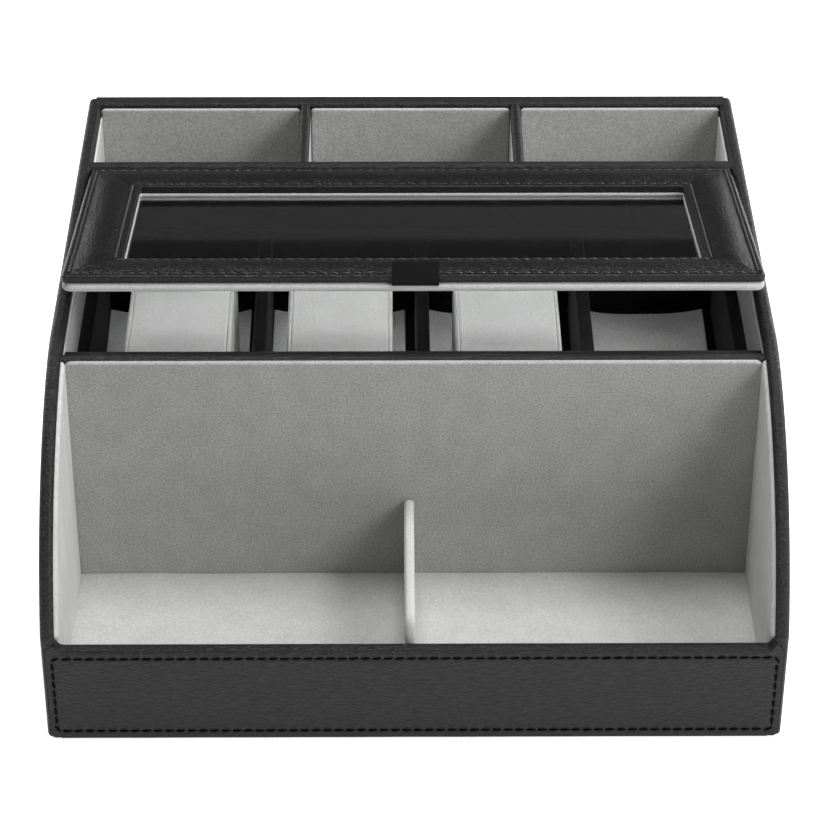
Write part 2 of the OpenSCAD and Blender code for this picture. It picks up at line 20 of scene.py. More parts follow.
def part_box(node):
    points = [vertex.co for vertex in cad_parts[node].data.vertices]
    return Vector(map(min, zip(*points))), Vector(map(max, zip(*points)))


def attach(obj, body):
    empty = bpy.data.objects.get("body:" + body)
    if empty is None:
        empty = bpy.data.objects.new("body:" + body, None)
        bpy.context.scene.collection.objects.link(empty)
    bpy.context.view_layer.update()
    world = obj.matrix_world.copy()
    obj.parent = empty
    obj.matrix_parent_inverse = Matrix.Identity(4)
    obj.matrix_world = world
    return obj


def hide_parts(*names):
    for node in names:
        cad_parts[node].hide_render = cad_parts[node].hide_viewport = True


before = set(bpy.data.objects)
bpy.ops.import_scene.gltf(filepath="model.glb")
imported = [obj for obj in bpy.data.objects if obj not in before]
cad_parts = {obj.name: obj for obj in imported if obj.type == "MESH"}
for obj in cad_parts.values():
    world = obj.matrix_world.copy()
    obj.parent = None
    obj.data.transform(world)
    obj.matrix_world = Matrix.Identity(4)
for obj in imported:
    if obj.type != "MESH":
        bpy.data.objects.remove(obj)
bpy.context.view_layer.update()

MM = 0.001
Socket = bpy.types.NodeSocket
log = logging.getLogger("valet")


class Body(Enum):
    """The two bodies that pieces ride on."""

    CASE = "case"
    LID = "lid"


class Along(Enum):
    """The direction in which a panel's thickness runs."""

    X = 0
    Y = 1
    Z = 2


# Surfaces


@dataclass
class Shell:
    """A closed surface in the making.

    Args:
        points: The points, one row each, in millimetres.
        quads: The four-sided faces, as rows of point numbers.
        tris: The three-sided faces, as rows of point numbers.
    """

    points: np.ndarray
    quads: np.ndarray
    tris: np.ndarray

    def __add__(self, other: "Shell") -> "Shell":
        """Both surfaces as one."""
        n = len(self.points)
        return Shell(np.vstack([self.points, other.points]), np.vstack([self.quads, other.quads + n]),
                     np.vstack([self.tris, other.tris + n]))

    def shifted(self, x: float) -> "Shell":
        """The same surface moved along X."""
        return Shell(self.points + np.array([x, 0.0, 0.0]), self.quads, self.tris)

    def flipped(self) -> "Shell":
        """The same surface with its faces turned round."""
        return Shell(self.points, self.quads[:, ::-1], self.tris[:, ::-1])

    def mirrored(self) -> "Shell":
        """The same surface on the other side of the middle, with its faces turned round to suit."""
        return Shell(self.points * np.array([-1.0, 1.0, 1.0]), self.quads, self.tris).flipped()

    def tilted(self, degrees: float, y: float, z: float) -> "Shell":
        """The same surface turned about a line along X, front edge up.

        Args:
            degrees: The angle.
            y: Where the line lies in Y.
            z: Where the line lies in Z.

        Returns:
            The turned surface.
        """
        c, s = math.cos(math.radians(degrees)), math.sin(math.radians(degrees))
        dy, dz = self.points[:, 1] - y, self.points[:, 2] - z
        turned = np.column_stack([self.points[:, 0], y + dy * c + dz * s, z - dy * s + dz * c])
        return Shell(turned, self.quads, self.tris)

    def welded(self) -> "Shell":
        """Points that fall together become one, and faces that shrink to a line go.

        Returns:
            The surface with its seams and poles closed.
        """
        _, first, where = np.unique(np.round(self.points, 4), axis=0, return_index=True, return_inverse=True)
        where = where.reshape(-1)
        quads, tris = where[self.quads], where[self.tris]
        same = quads == np.roll(quads, -1, axis=1)
        folds = same.sum(axis=1)
        one = folds == 1
        at = (np.argmax(same[one], axis=1)[:, None] + np.array([1, 2, 3])) % 4
        tris = np.vstack([tris, np.take_along_axis(quads[one], at, axis=1)])
        flat = (tris == np.roll(tris, -1, axis=1)).any(axis=1)
        return Shell(self.points[first], quads[folds == 0], tris[~flat])

    def outward(self) -> "Shell":
        """The surface with its faces outwards: turned round where the volume that they enclose is negative.

        Returns:
            The surface.
        """
        corners = np.vstack([self.quads[:, [0, 1, 2]], self.quads[:, [0, 2, 3]], self.tris])
        a, b, c = (self.points[corners[:, k]] for k in range(3))
        return self if np.einsum("ij,ij->i", a, np.cross(b, c)).sum() >= 0 else self.flipped()

    def mesh(self, name: str) -> bpy.types.Mesh:
        """The surface as a mesh.

        Args:
            name: The mesh's name.

        Returns:
            The mesh, in metres, with its seams closed and its faces outwards.
        """
        closed = self.welded().outward()
        made = bpy.data.meshes.new(name)
        made.from_pydata((closed.points * MM).tolist(), [], closed.quads.tolist() + closed.tris.tolist())
        return made


NO_TRIS = np.zeros((0, 3), int)
NO_QUADS = np.zeros((0, 4), int)


def joined(shells: Iterable[Shell]) -> Shell:
    """Several surfaces as one."""
    return functools.reduce(operator.add, shells)


def lattice(points: np.ndarray, close_u: bool = False, close_v: bool = False) -> Shell:
    """Faces over a grid of points, one between each four neighbours.

    Args:
        points: The grid, as (rows, columns, 3).
        close_u: Whether the last row joins the first.
        close_v: Whether the last column joins the first.

    Returns:
        The surface.
    """
    nu, nv = points.shape[:2]
    u = np.arange(nu if close_u else nu - 1)[:, None]
    v = np.arange(nv if close_v else nv - 1)[None, :]
    un, vn = (u + 1) % nu, (v + 1) % nv
    quads = np.stack([u * nv + v, un * nv + v, un * nv + vn, u * nv + vn], axis=-1).reshape(-1, 4)
    return Shell(points.reshape(-1, 3), quads, NO_TRIS)


def lid_on(ring: np.ndarray, shares: Iterable[float] = (0.985, 0.7, 0.35)) -> Shell:
    """Closes a ring: smaller copies of it towards its middle, and a fan in the last.

    Args:
        ring: The ring's points, as (n, 3).
        shares: How large each copy is.

    Returns:
        The surface inside the ring.
    """
    middle = ring.mean(axis=0)
    rings = np.stack([ring] + [middle + (ring - middle) * s for s in shares])
    n = len(ring)
    k = np.arange(n)
    fan = Shell(np.vstack([rings[-1], middle]), NO_QUADS, np.column_stack([(k + 1) % n, k, np.full(n, n)]))
    return lattice(rings, close_v=True) + fan


def out_of(outline: np.ndarray) -> np.ndarray:
    """The way out of an anticlockwise outline at each point, long enough to keep mitred corners parallel.

    Args:
        outline: The outline's points, as (n, 2).

    Returns:
        One vector for each point: both neighbouring sides' normals added and divided by one plus their product.
    """
    side = np.roll(outline, -1, axis=0) - outline
    normal = np.column_stack([side[:, 1], -side[:, 0]]) / np.linalg.norm(side, axis=1)[:, None]
    before = np.roll(normal, 1, axis=0)
    return (normal + before) / (1 + np.einsum("ij,ij->i", normal, before))[:, None]


def run(start: tuple[float, float], end: tuple[float, float], step: float = 2.0) -> np.ndarray:
    """Evenly spaced points from start up to, but without, end."""
    count = max(1, round(math.dist(start, end) / step))
    return np.linspace(start, end, count, endpoint=False)


def arc(centre: tuple[float, float], radius: float, start: float, end: float, count: int = 6) -> np.ndarray:
    """Points on an arc, both ends included, from and to an angle in degrees."""
    a = np.radians(np.linspace(start, end, count + 1))
    return np.column_stack([centre[0] + radius * np.cos(a), centre[1] + radius * np.sin(a)])


def trace(*parts: np.ndarray) -> np.ndarray:
    """Joins runs and arcs into one line.

    Args:
        parts: The runs and arcs, each as (n, 2).

    Returns:
        The line, without points that repeat.
    """
    line = np.vstack(parts)
    keep = np.ones(len(line), bool)
    keep[1:] = np.linalg.norm(np.diff(line, axis=0), axis=1) > 1e-6
    return line[keep]


def soft_rectangle(lo: tuple[float, float], hi: tuple[float, float], radii: tuple[float, float, float, float],
                   counts: tuple[int, int] = (24, 24), turns: int = 6) -> np.ndarray:
    """A rectangle with rounded corners: four straight runs joined by four quarter circles, anticlockwise.

    Args:
        lo: The lowest corner.
        hi: The highest corner.
        radii: The corners' radii: low left, low right, high right, high left.
        counts: Points on a run along the first and the second direction.
        turns: Steps in each quarter circle.

    Returns:
        The outline, with the same number of points for the same counts.
    """
    (x0, y0), (x1, y1) = lo, hi
    a, b, c, d = radii
    nx, ny = counts
    return np.vstack([
        np.linspace((x0 + a, y0), (x1 - b, y0), nx, endpoint=False),
        arc((x1 - b, y0 + b), b, -90, 0, turns)[:-1],
        np.linspace((x1, y0 + b), (x1, y1 - c), ny, endpoint=False),
        arc((x1 - c, y1 - c), c, 0, 90, turns)[:-1],
        np.linspace((x1 - c, y1), (x0 + d, y1), nx, endpoint=False),
        arc((x0 + d, y1 - d), d, 90, 180, turns)[:-1],
        np.linspace((x0, y1 - d), (x0, y0 + a), ny, endpoint=False),
        arc((x0 + a, y0 + a), a, 180, 270, turns)[:-1],
    ])


def stand(flat: np.ndarray, height: np.ndarray, along: Along) -> np.ndarray:
    """Puts flat points at their heights: the two flat directions are the two that the height doesn't use."""
    return np.insert(flat, along.value, height, axis=-1)


def stack(outline: np.ndarray, insets: np.ndarray, heights: np.ndarray, along: Along,
          shares: Iterable[float] = (0.985, 0.7, 0.35)) -> Shell:
    """A closed form of rings: each is the outline drawn in by an inset and set at a height.

    Args:
        outline: The outline, anticlockwise, as (n, 2).
        insets: How far each ring is drawn in, as (k,) or, point by point, (k, n).
        heights: Each ring's height, as (k,).
        along: The direction of the heights.
        shares: The copies of the first and last ring that close the ends.

    Returns:
        The closed surface.
    """
    inset = insets[:, None] if insets.ndim == 1 else insets
    flat = outline[None] - inset[..., None] * out_of(outline)[None]
    rings = stand(flat, np.broadcast_to(heights[:, None], flat.shape[:2]), along)
    return lattice(rings, close_v=True) + lid_on(rings[0], shares).flipped() + lid_on(rings[-1], shares)


def panel(outline: np.ndarray, low: float, high: float, round_low: float, round_high: float, along: Along,
          steps: int = 4, shares: Iterable[float] = (0.985, 0.7, 0.35)) -> Shell:
    """A flat panel with rounded edges: a quarter circle at the low face, a straight wall, and one at the high face.

    Args:
        outline: The panel's outline.
        low: Its low face.
        high: Its high face.
        round_low: The low edge's radius.
        round_high: The high edge's radius.
        along: The direction of its thickness.
        steps: Steps in each quarter circle.
        shares: The copies of the first and last ring that close the faces.

    Returns:
        The closed surface.
    """
    a = np.linspace(0, math.pi / 2, steps + 1)
    insets = np.concatenate([round_low * (1 - np.sin(a)), round_high * (1 - np.sin(a[::-1]))])
    heights = np.concatenate([low + round_low * (1 - np.cos(a)), high - round_high * (1 - np.cos(a[::-1]))])
    return stack(outline, insets, heights, along, shares)


def soft_block(lo: tuple[float, float, float], hi: tuple[float, float, float], along: Along, edge: float = 0.8,
               corner: float = 1.2, counts: tuple[int, int] = (12, 12)) -> Shell:
    """A panel over the whole of a box, with all its edges and corners rounded.

    Args:
        lo: The box's lowest corner.
        hi: Its highest corner.
        along: The direction of the panel's thickness.
        edge: The edges' radius.
        corner: The outline's corner radius.
        counts: Points on the outline's runs.

    Returns:
        The closed surface.
    """
    flat = [k for k in range(3) if k != along.value]
    outline = soft_rectangle((lo[flat[0]], lo[flat[1]]), (hi[flat[0]], hi[flat[1]]), (corner,) * 4, counts)
    return panel(outline, lo[along.value], hi[along.value], edge, edge, along)


def sheet(outer: np.ndarray, inner: np.ndarray, stations: np.ndarray, along: Along) -> Shell:
    """A bent sheet between two lines seen from the side, carried along a direction and filled at both ends.

    Args:
        outer: The outer line, as (n, 2), or station by station as (k, n, 2).
        inner: The inner line, with as many points.
        stations: Where the lines are repeated along the direction, as (k,).
        along: The direction.

    Returns:
        The closed surface.
    """
    count, n = len(stations), outer.shape[-2]
    flat = np.broadcast_to(np.concatenate([outer, inner[..., ::-1, :]], axis=-2), (count, 2 * n, 2))
    body = lattice(stand(flat, np.broadcast_to(stations[:, None], flat.shape[:2]), along), close_v=True)
    k = np.arange(n - 1)
    end = np.column_stack([k, k + 1, 2 * n - 2 - k, 2 * n - 1 - k])
    last = (count - 1) * 2 * n
    return Shell(body.points, np.vstack([body.quads, end, end[:, ::-1] + last]), NO_TRIS)


def skin(path: np.ndarray, thickness: float, stations: np.ndarray, along: Along = Along.X) -> Shell:
    """A bent sheet of even thickness: a line seen from the side, and the same line one thickness further in.

    Args:
        path: The sheet's outer line, with the outside on its right, as (n, 2).
        thickness: The sheet's thickness.
        stations: Where the line is repeated along the direction.
        along: The direction.

    Returns:
        The closed surface.
    """
    step = np.gradient(path, axis=0)
    way = np.column_stack([step[:, 1], -step[:, 0]]) / np.linalg.norm(step, axis=1)[:, None]
    return sheet(path, path - thickness * way, stations, along)


def turned(profile: np.ndarray, centre: tuple[float, float], steps: int = 48) -> Shell:
    """A ring turned about a line along Y: a closed profile of radius and Y, repeated round the circle.

    Args:
        profile: The profile, as (n, 2).
        centre: The line's X and Z.
        steps: Repeats round the circle.

    Returns:
        The closed surface.
    """
    a = np.linspace(0, 2 * math.pi, steps, endpoint=False)[:, None]
    r, y = profile[None, :, 0], profile[None, :, 1]
    points = np.stack([centre[0] + r * np.cos(a), np.broadcast_to(y, (steps, len(profile))),
                       centre[1] + r * np.sin(a)], axis=-1)
    return lattice(points, close_u=True, close_v=True)


def stitches(line: np.ndarray, up: tuple[float, float, float], pitch: float, length: float, girth: float,
             slant: float = 0.0, closed: bool = True) -> Shell:
    """A row of thread stitches: short six-sided beads that arch out of the seam and dip at both ends.

    Args:
        line: The seam, as (n, 3).
        up: The way out of the surface.
        pitch: From one stitch to the next; it is trimmed so that a whole number fits.
        length: A stitch's length.
        girth: The thread's radius.
        slant: How far a stitch leans across the seam, as a share of its length.
        closed: Whether the seam comes back to its start.

    Returns:
        All the stitches as one surface.
    """
    path = np.vstack([line, line[:1]]) if closed else line
    s = np.concatenate([[0], np.cumsum(np.linalg.norm(np.diff(path, axis=0), axis=1))])
    count = round(s[-1] / pitch)
    at = (np.arange(count) + 0.5) * s[-1] / count
    place = np.column_stack([np.interp(at, s, path[:, k]) for k in range(3)])
    ahead = np.column_stack([np.interp(np.minimum(at + 0.6, s[-1]), s, path[:, k]) for k in range(3)])
    way = ahead - place
    way /= np.linalg.norm(way, axis=1)[:, None]
    lift = np.array(up, float)
    across = np.cross(lift, way)
    way = way + slant * across
    way /= np.linalg.norm(way, axis=1)[:, None]
    across = np.cross(lift, way)
    t = np.array([-1.0, -0.8, 0.0, 0.8, 1.0])
    swell = girth * np.array([0.35, 0.85, 1.0, 0.85, 0.35])
    a = np.linspace(0, 2 * math.pi, 6, endpoint=False)
    bead = (place[:, None, None, :]
            + way[:, None, None, :] * (t * length / 2)[None, :, None, None]
            + lift * ((1 - t**2) * girth * 0.7)[None, :, None, None]
            + across[:, None, None, :] * (swell[:, None] * np.cos(a))[None, :, :, None]
            + lift * (swell[:, None] * np.sin(a))[None, :, :, None])
    one = lattice(np.zeros((5, 6, 3)), close_v=True).quads
    ends = np.array([[0, 1, 2, 3], [0, 3, 4, 5], [27, 26, 25, 24], [29, 28, 27, 24]])
    faces = (np.vstack([one, ends])[None] + 30 * np.arange(count)[:, None, None]).reshape(-1, 4)
    return Shell(bead.reshape(-1, 3), faces, NO_TRIS)


def ease(value: np.ndarray, start: float, end: float) -> np.ndarray:
    """A smooth step from 0 at start to 1 at end."""
    t = np.clip((value - start) / (end - start), 0, 1)
    return t * t * (3 - 2 * t)


def ripple(a: np.ndarray, b: np.ndarray, size: float) -> np.ndarray:
    """A slow uneven wave between about -1 and 1: three sines across each other, of about the given size."""
    k = 2 * math.pi / size
    return (np.sin(k * a + 1.3) * np.cos(0.8 * k * b + 0.4) + 0.6 * np.sin(0.53 * k * (a + 1.4 * b) + 2.1)
            + 0.4 * np.sin(1.7 * k * (b - 0.6 * a))) / 2.0


def off_rectangle(a: np.ndarray, b: np.ndarray, lo: tuple[float, float], hi: tuple[float, float]) -> np.ndarray:
    """How far points lie from a rectangle's outline, inside or outside it.

    Args:
        a: The points' places along the first direction.
        b: Their places along the second.
        lo: The rectangle's lowest corner.
        hi: Its highest corner.

    Returns:
        The distances.
    """
    qa = np.abs(a - (lo[0] + hi[0]) / 2) - (hi[0] - lo[0]) / 2
    qb = np.abs(b - (lo[1] + hi[1]) / 2) - (hi[1] - lo[1]) / 2
    return np.abs(np.hypot(np.maximum(qa, 0), np.maximum(qb, 0)) + np.minimum(np.maximum(qa, qb), 0))


# Finishes


def linear(code: str) -> tuple[float, float, float, float]:
    """An sRGB hex colour as the linear values that shaders use."""
    parts = [int(code[k:k + 2], 16) / 255 for k in (1, 3, 5)]
    return tuple(c / 12.92 if c <= 0.04045 else ((c + 0.055) / 1.055) ** 2.4 for c in parts) + (1.0,)


def add(tree: bpy.types.NodeTree, kind: str, sockets: dict[Any, Any], **settings: Any) -> bpy.types.Node:
    """Adds one node.

    Args:
        tree: The tree that it goes into.
        kind: Blender's name for the node.
        sockets: For each input, by name or number, a value or the output to link to it.
        settings: The node's own settings.

    Returns:
        The node.
    """
    node = tree.nodes.new(kind)
    for name, value in settings.items():
        setattr(node, name, value)
    for name, value in sockets.items():
        if isinstance(value, bpy.types.NodeSocket):
            tree.links.new(value, node.inputs[name])
        else:
            node.inputs[name].default_value = value
    return node


def put(name: str, data: bpy.types.ID) -> bpy.types.Object:
    """Makes an object.

    Args:
        name: Its name.
        data: Its mesh, lamp or camera.

    Returns:
        The object, in the scene.
    """
    made = bpy.data.objects.new(name, data)
    bpy.context.scene.collection.objects.link(made)
    return made


def blank(name: str) -> tuple[bpy.types.Material, bpy.types.NodeTree]:
    """Makes a material without nodes.

    Args:
        name: Its name.

    Returns:
        The material and its tree.
    """
    made = bpy.data.materials.new(name)
    made.use_nodes = True
    made.node_tree.nodes.clear()
    return made, made.node_tree


@dataclass(frozen=True)
class Bench:
    """A material in the making: its tree, and the place on the piece in millimetres."""

    tree: bpy.types.NodeTree
    mm: Socket

    def noise(self, size: float, detail: float, roughness: float = 0.5, at: Socket | None = None) -> Socket:
        """Noise of about the given size, by the place in millimetres or by another."""
        return add(self.tree, "ShaderNodeTexNoise", {"Vector": self.mm if at is None else at, "Scale": 1 / size,
                                                     "Detail": detail, "Roughness": roughness}).outputs["Fac"]

    def drawn(self, scale: tuple[float, float, float], at: Socket | None = None) -> Socket:
        """The place, or another, scaled along each direction."""
        return add(self.tree, "ShaderNodeMapping", {"Vector": self.mm if at is None else at,
                                                    "Scale": scale}).outputs[0]

    def math(self, operation: str, *values: Any, clamp: bool = False) -> Socket:
        """Two or three values, put together by one of Blender's operations."""
        return add(self.tree, "ShaderNodeMath", dict(enumerate(values)), operation=operation,
                   use_clamp=clamp).outputs[0]

    def span(self, value: Socket, start: float, end: float, low: float = 0.0, high: float = 1.0,
             kind: str = "LINEAR") -> Socket:
        """A value carried over from the span between start and end to the span between low and high."""
        return add(self.tree, "ShaderNodeMapRange",
                   {"Value": value, "From Min": start, "From Max": end, "To Min": low, "To Max": high},
                   interpolation_type=kind).outputs[0]

    def blend(self, share: Socket, low: str, high: str) -> Socket:
        """A colour between two hex colours, by its share of the second."""
        return add(self.tree, "ShaderNodeMix", {0: share, 6: linear(low), 7: linear(high)},
                   data_type="RGBA").outputs[2]

    def bump(self, height: Socket, strength: float, depth: float) -> Socket:
        """A bump of the given depth in millimetres."""
        return add(self.tree, "ShaderNodeBump", {"Height": height, "Strength": strength,
                                                 "Distance": depth * MM}).outputs[0]


@dataclass(frozen=True)
class Finish:
    """What every finish has: a name and a way to make its material."""

    name: str

    def nodes(self, on: Bench) -> dict[str, Any]:
        """The inputs of the Principled shader, made on the bench."""
        raise NotImplementedError

    def material(self) -> bpy.types.Material:
        """Makes the material: the finish's own nodes into one Principled shader.

        Returns:
            The material.
        """
        made, tree = blank(self.name)
        place = add(tree, "ShaderNodeTexCoord", {}).outputs["Object"]
        mm = add(tree, "ShaderNodeMapping", {"Vector": place, "Scale": (1000, 1000, 1000)}).outputs[0]
        shader = add(tree, "ShaderNodeBsdfPrincipled", self.nodes(Bench(tree, mm)))
        add(tree, "ShaderNodeOutputMaterial", {"Surface": shader.outputs[0]})
        return made


@dataclass(frozen=True)
class Leather(Finish):
    """Split cowhide, dyed through, pigmented black and embossed with a fine pebble under a satin topcoat.

    The eye gets small rounded grains that catch the light, with duller creases between them; the creases' darker colour
    is painted shade.
    """

    grain: str = "#171718"
    # The crease colour is painted shade in the creases between the grains.
    crease: str = "#0e0e0f"
    pebble: float = 1.15
    stretch: tuple[float, float, float] = (0.32, 1.0, 1.0)
    roughness: float = 0.4
    specular: float = 0.28
    depth: float = 0.4
    cell: float = 0.45
    pore: float = 0.2

    def nodes(self, on: Bench) -> dict[str, Any]:
        """Voronoi cells one pebble wide, pushed about by noise, give grains; soft noise wrinkles run through them.

        Args:
            on: The bench.

        Returns:
            The shader's inputs.
        """
        # The cells are pushed by up to 1.1 mm, with noise 3.2 mm across.
        drift = add(on.tree, "ShaderNodeTexNoise", {"Vector": on.mm, "Scale": 1 / 3.2, "Detail": 2.0})
        push = add(on.tree, "ShaderNodeVectorMath", {0: drift.outputs["Color"], 1: (0.5, 0.5, 0.5)},
                   operation="SUBTRACT")
        bent = add(on.tree, "ShaderNodeVectorMath", {0: push.outputs[0], 1: (2.2, 2.2, 2.2), 2: on.mm},
                   operation="MULTIPLY_ADD")
        drawn = on.drawn(self.stretch, bent.outputs[0])
        cells = add(on.tree, "ShaderNodeTexVoronoi", {"Vector": drawn, "Scale": 1 / self.pebble},
                    feature="DISTANCE_TO_EDGE")
        pebbles = on.span(cells.outputs["Distance"], 0.0, 0.3, 0.0, self.cell, "SMOOTHSTEP")
        folds = on.noise(self.pebble / 0.8, 2.5, at=drawn)
        wrinkles = on.span(folds, 0.36, 0.64, 0.0, 1 - self.cell, "SMOOTHSTEP")
        grain = on.math("ADD", pebbles, wrinkles)
        # Pores, 0.5 mm apart, ride on the grains.
        height = on.math("MULTIPLY_ADD", on.noise(0.5, 3.0), self.pore, grain)
        # Wear and uneven dye, 30 mm across.
        tone = on.math("MULTIPLY_ADD", on.noise(30.0, 3.0), 0.3, grain, clamp=True)
        # The colour runs from the crease colour to the grain colour with the grain's height, plus random wear and dye:
        # the darker creases are painted shade.
        return {"Base Color": on.blend(tone, self.crease, self.grain),
                "Roughness": on.span(grain, 0.0, 1.0, self.roughness + 0.15, self.roughness),
                "Normal": on.bump(height, 0.75, self.depth), "IOR": 1.5, "Specular IOR Level": self.specular}


@dataclass(frozen=True)
class Suede(Finish):
    """Polyester microfibre suede, woven, then sanded to a short nap: matt, with a mottled bloom where it is brushed."""

    lit: str = "#cacac9"
    deep: str = "#b0b0af"
    streak: float = 0.0
    mottle: float = 1.4

    def nodes(self, on: Bench) -> dict[str, Any]:
        """Fine noise is the nap, slow noise the brushed patches, and long noise the streaks left by wiping.

        Args:
            on: The bench.

        Returns:
            The shader's inputs.
        """
        # The fibres are finer than a pixel, so their tufts are drawn 0.9 mm apart; the patches are 11 mm across.
        nap, patch = on.noise(0.9, 4.0, 0.7), on.noise(11.0, 4.0)
        # Streaks 3 mm wide and 60 mm long.
        wiped = on.noise(1.0, 2.0, at=on.drawn((1 / 3, 1 / 3, 1 / 60)))
        bloom = 0.3 / self.mottle
        tone = on.math("MULTIPLY_ADD", wiped, self.streak, on.math("MULTIPLY_ADD", patch, bloom, nap))
        # The more mottled the nap, the smaller the span of tones between its two colours.
        middle, half = 0.5 + (bloom + self.streak) * 0.5, (0.225 + self.streak * 0.2) / self.mottle
        colour = on.blend(on.span(tone, middle - half, middle + half), self.deep, self.lit)
        return {"Base Color": colour, "Roughness": 0.95, "Normal": on.bump(nap, 0.5, 0.3),
                "Specular IOR Level": 0.15, "Sheen Weight": 0.15, "Sheen Roughness": 0.4}


@dataclass(frozen=True)
class Pile(Finish):
    """Cut pile or pressed fibre in black: it swallows light, and shows a faint bloom at its edges."""

    base: str = "#1b1b1c"
    tuft: float = 0.8
    sheen: float = 0.1

    def nodes(self, on: Bench) -> dict[str, Any]:
        """Noise one tuft wide raises the pile, and slow noise lays it in patches.

        Args:
            on: The bench.

        Returns:
            The shader's inputs.
        """
        # A fibre is finer than a pixel, so tufts of them are drawn; the patches are 14 mm across.
        fibre, patch = on.noise(self.tuft, 4.0), on.noise(14.0, 3.0)
        share = on.span(on.math("MULTIPLY_ADD", fibre, 0.6, patch), 0.5, 1.1)
        return {"Base Color": on.blend(share, "#060606", self.base), "Roughness": 1.0,
                "Normal": on.bump(fibre, 0.4, 0.3), "Specular IOR Level": 0.1, "Sheen Weight": self.sheen,
                "Sheen Roughness": 0.5}


@dataclass(frozen=True)
class Ribbon(Finish):
    """Woven nylon ribbon or bonded nylon thread in black: fine crosswise ribs with a dull shine."""

    base: str = "#161617"
    rib: float = 0.6
    roughness: float = 0.6
    specular: float = 0.3

    def nodes(self, on: Bench) -> dict[str, Any]:
        """Bands one rib apart run across, and noise 0.7 mm wide breaks them up.

        Args:
            on: The bench.

        Returns:
            The shader's inputs.
        """
        ribs = add(on.tree, "ShaderNodeTexWave", {"Vector": on.mm, "Scale": 0.314 / self.rib, "Distortion": 0.6},
                   bands_direction="Z")
        tone = on.math("MULTIPLY", ribs.outputs["Fac"], on.noise(0.7, 3.0))
        return {"Base Color": on.blend(tone, "#080808", self.base), "Roughness": self.roughness,
                "Normal": on.bump(tone, 0.4, 0.15), "Specular IOR Level": self.specular}


@dataclass(frozen=True)
class Glass(Finish):
    """Float glass, cut and polished: clear, with a faint mirror of the room and the slightest grey in its body."""

    tint: str = "#f2f4f3"

    def nodes(self, on: Bench) -> dict[str, Any]:
        """The finest smear of wiping, 25 mm across, softens the mirror here and there."""
        rough = on.span(on.noise(25.0, 2.0), 0.0, 1.0, 0.01, 0.04)
        return {"Base Color": linear(self.tint), "Roughness": rough, "IOR": 1.5, "Transmission Weight": 1.0}


@dataclass(frozen=True)
class Rubber(Finish):
    """Moulded black rubber: smooth, matt, with the fine tooth of a spark-eroded mould."""

    base: str = "#1c1c1d"

    def nodes(self, on: Bench) -> dict[str, Any]:
        """Noise 0.6 mm across is the mould's tooth."""
        tooth = on.noise(0.6, 2.0)
        return {"Base Color": on.blend(tooth, "#121212", self.base), "Roughness": 0.6,
                "Normal": on.bump(tooth, 0.2, 0.1)}


@dataclass(frozen=True)
class Metal(Finish):
    """Drawn or turned metal: bright, with fine lines round the bar from the die or the tool."""

    base: str = "#b4b4b6"
    dull: str = "#8e8e91"

    def nodes(self, on: Bench) -> dict[str, Any]:
        """Noise drawn out 20 to 1 along the bar gives its lines, 0.3 mm apart."""
        lines = on.noise(1.0, 3.0, at=on.drawn((0.16, 3.3, 3.3)))
        return {"Base Color": on.blend(lines, self.dull, self.base), "Roughness": on.span(lines, 0.0, 1.0, 0.3, 0.42),
                "Metallic": 1.0}


@dataclass(frozen=True)
class Fibreboard(Finish):
    """Medium-density fibreboard, sawn and left bare: an even light brown with short darker fibres."""

    base: str = "#b08d5f"
    fibre: str = "#8c6a42"

    def nodes(self, on: Bench) -> dict[str, Any]:
        """Noise 1.2 mm across is the felted fibre."""
        felted = on.noise(1.2, 5.0, 0.7)
        return {"Base Color": on.blend(felted, self.fibre, self.base), "Roughness": 0.85,
                "Normal": on.bump(felted, 0.3, 0.1)}


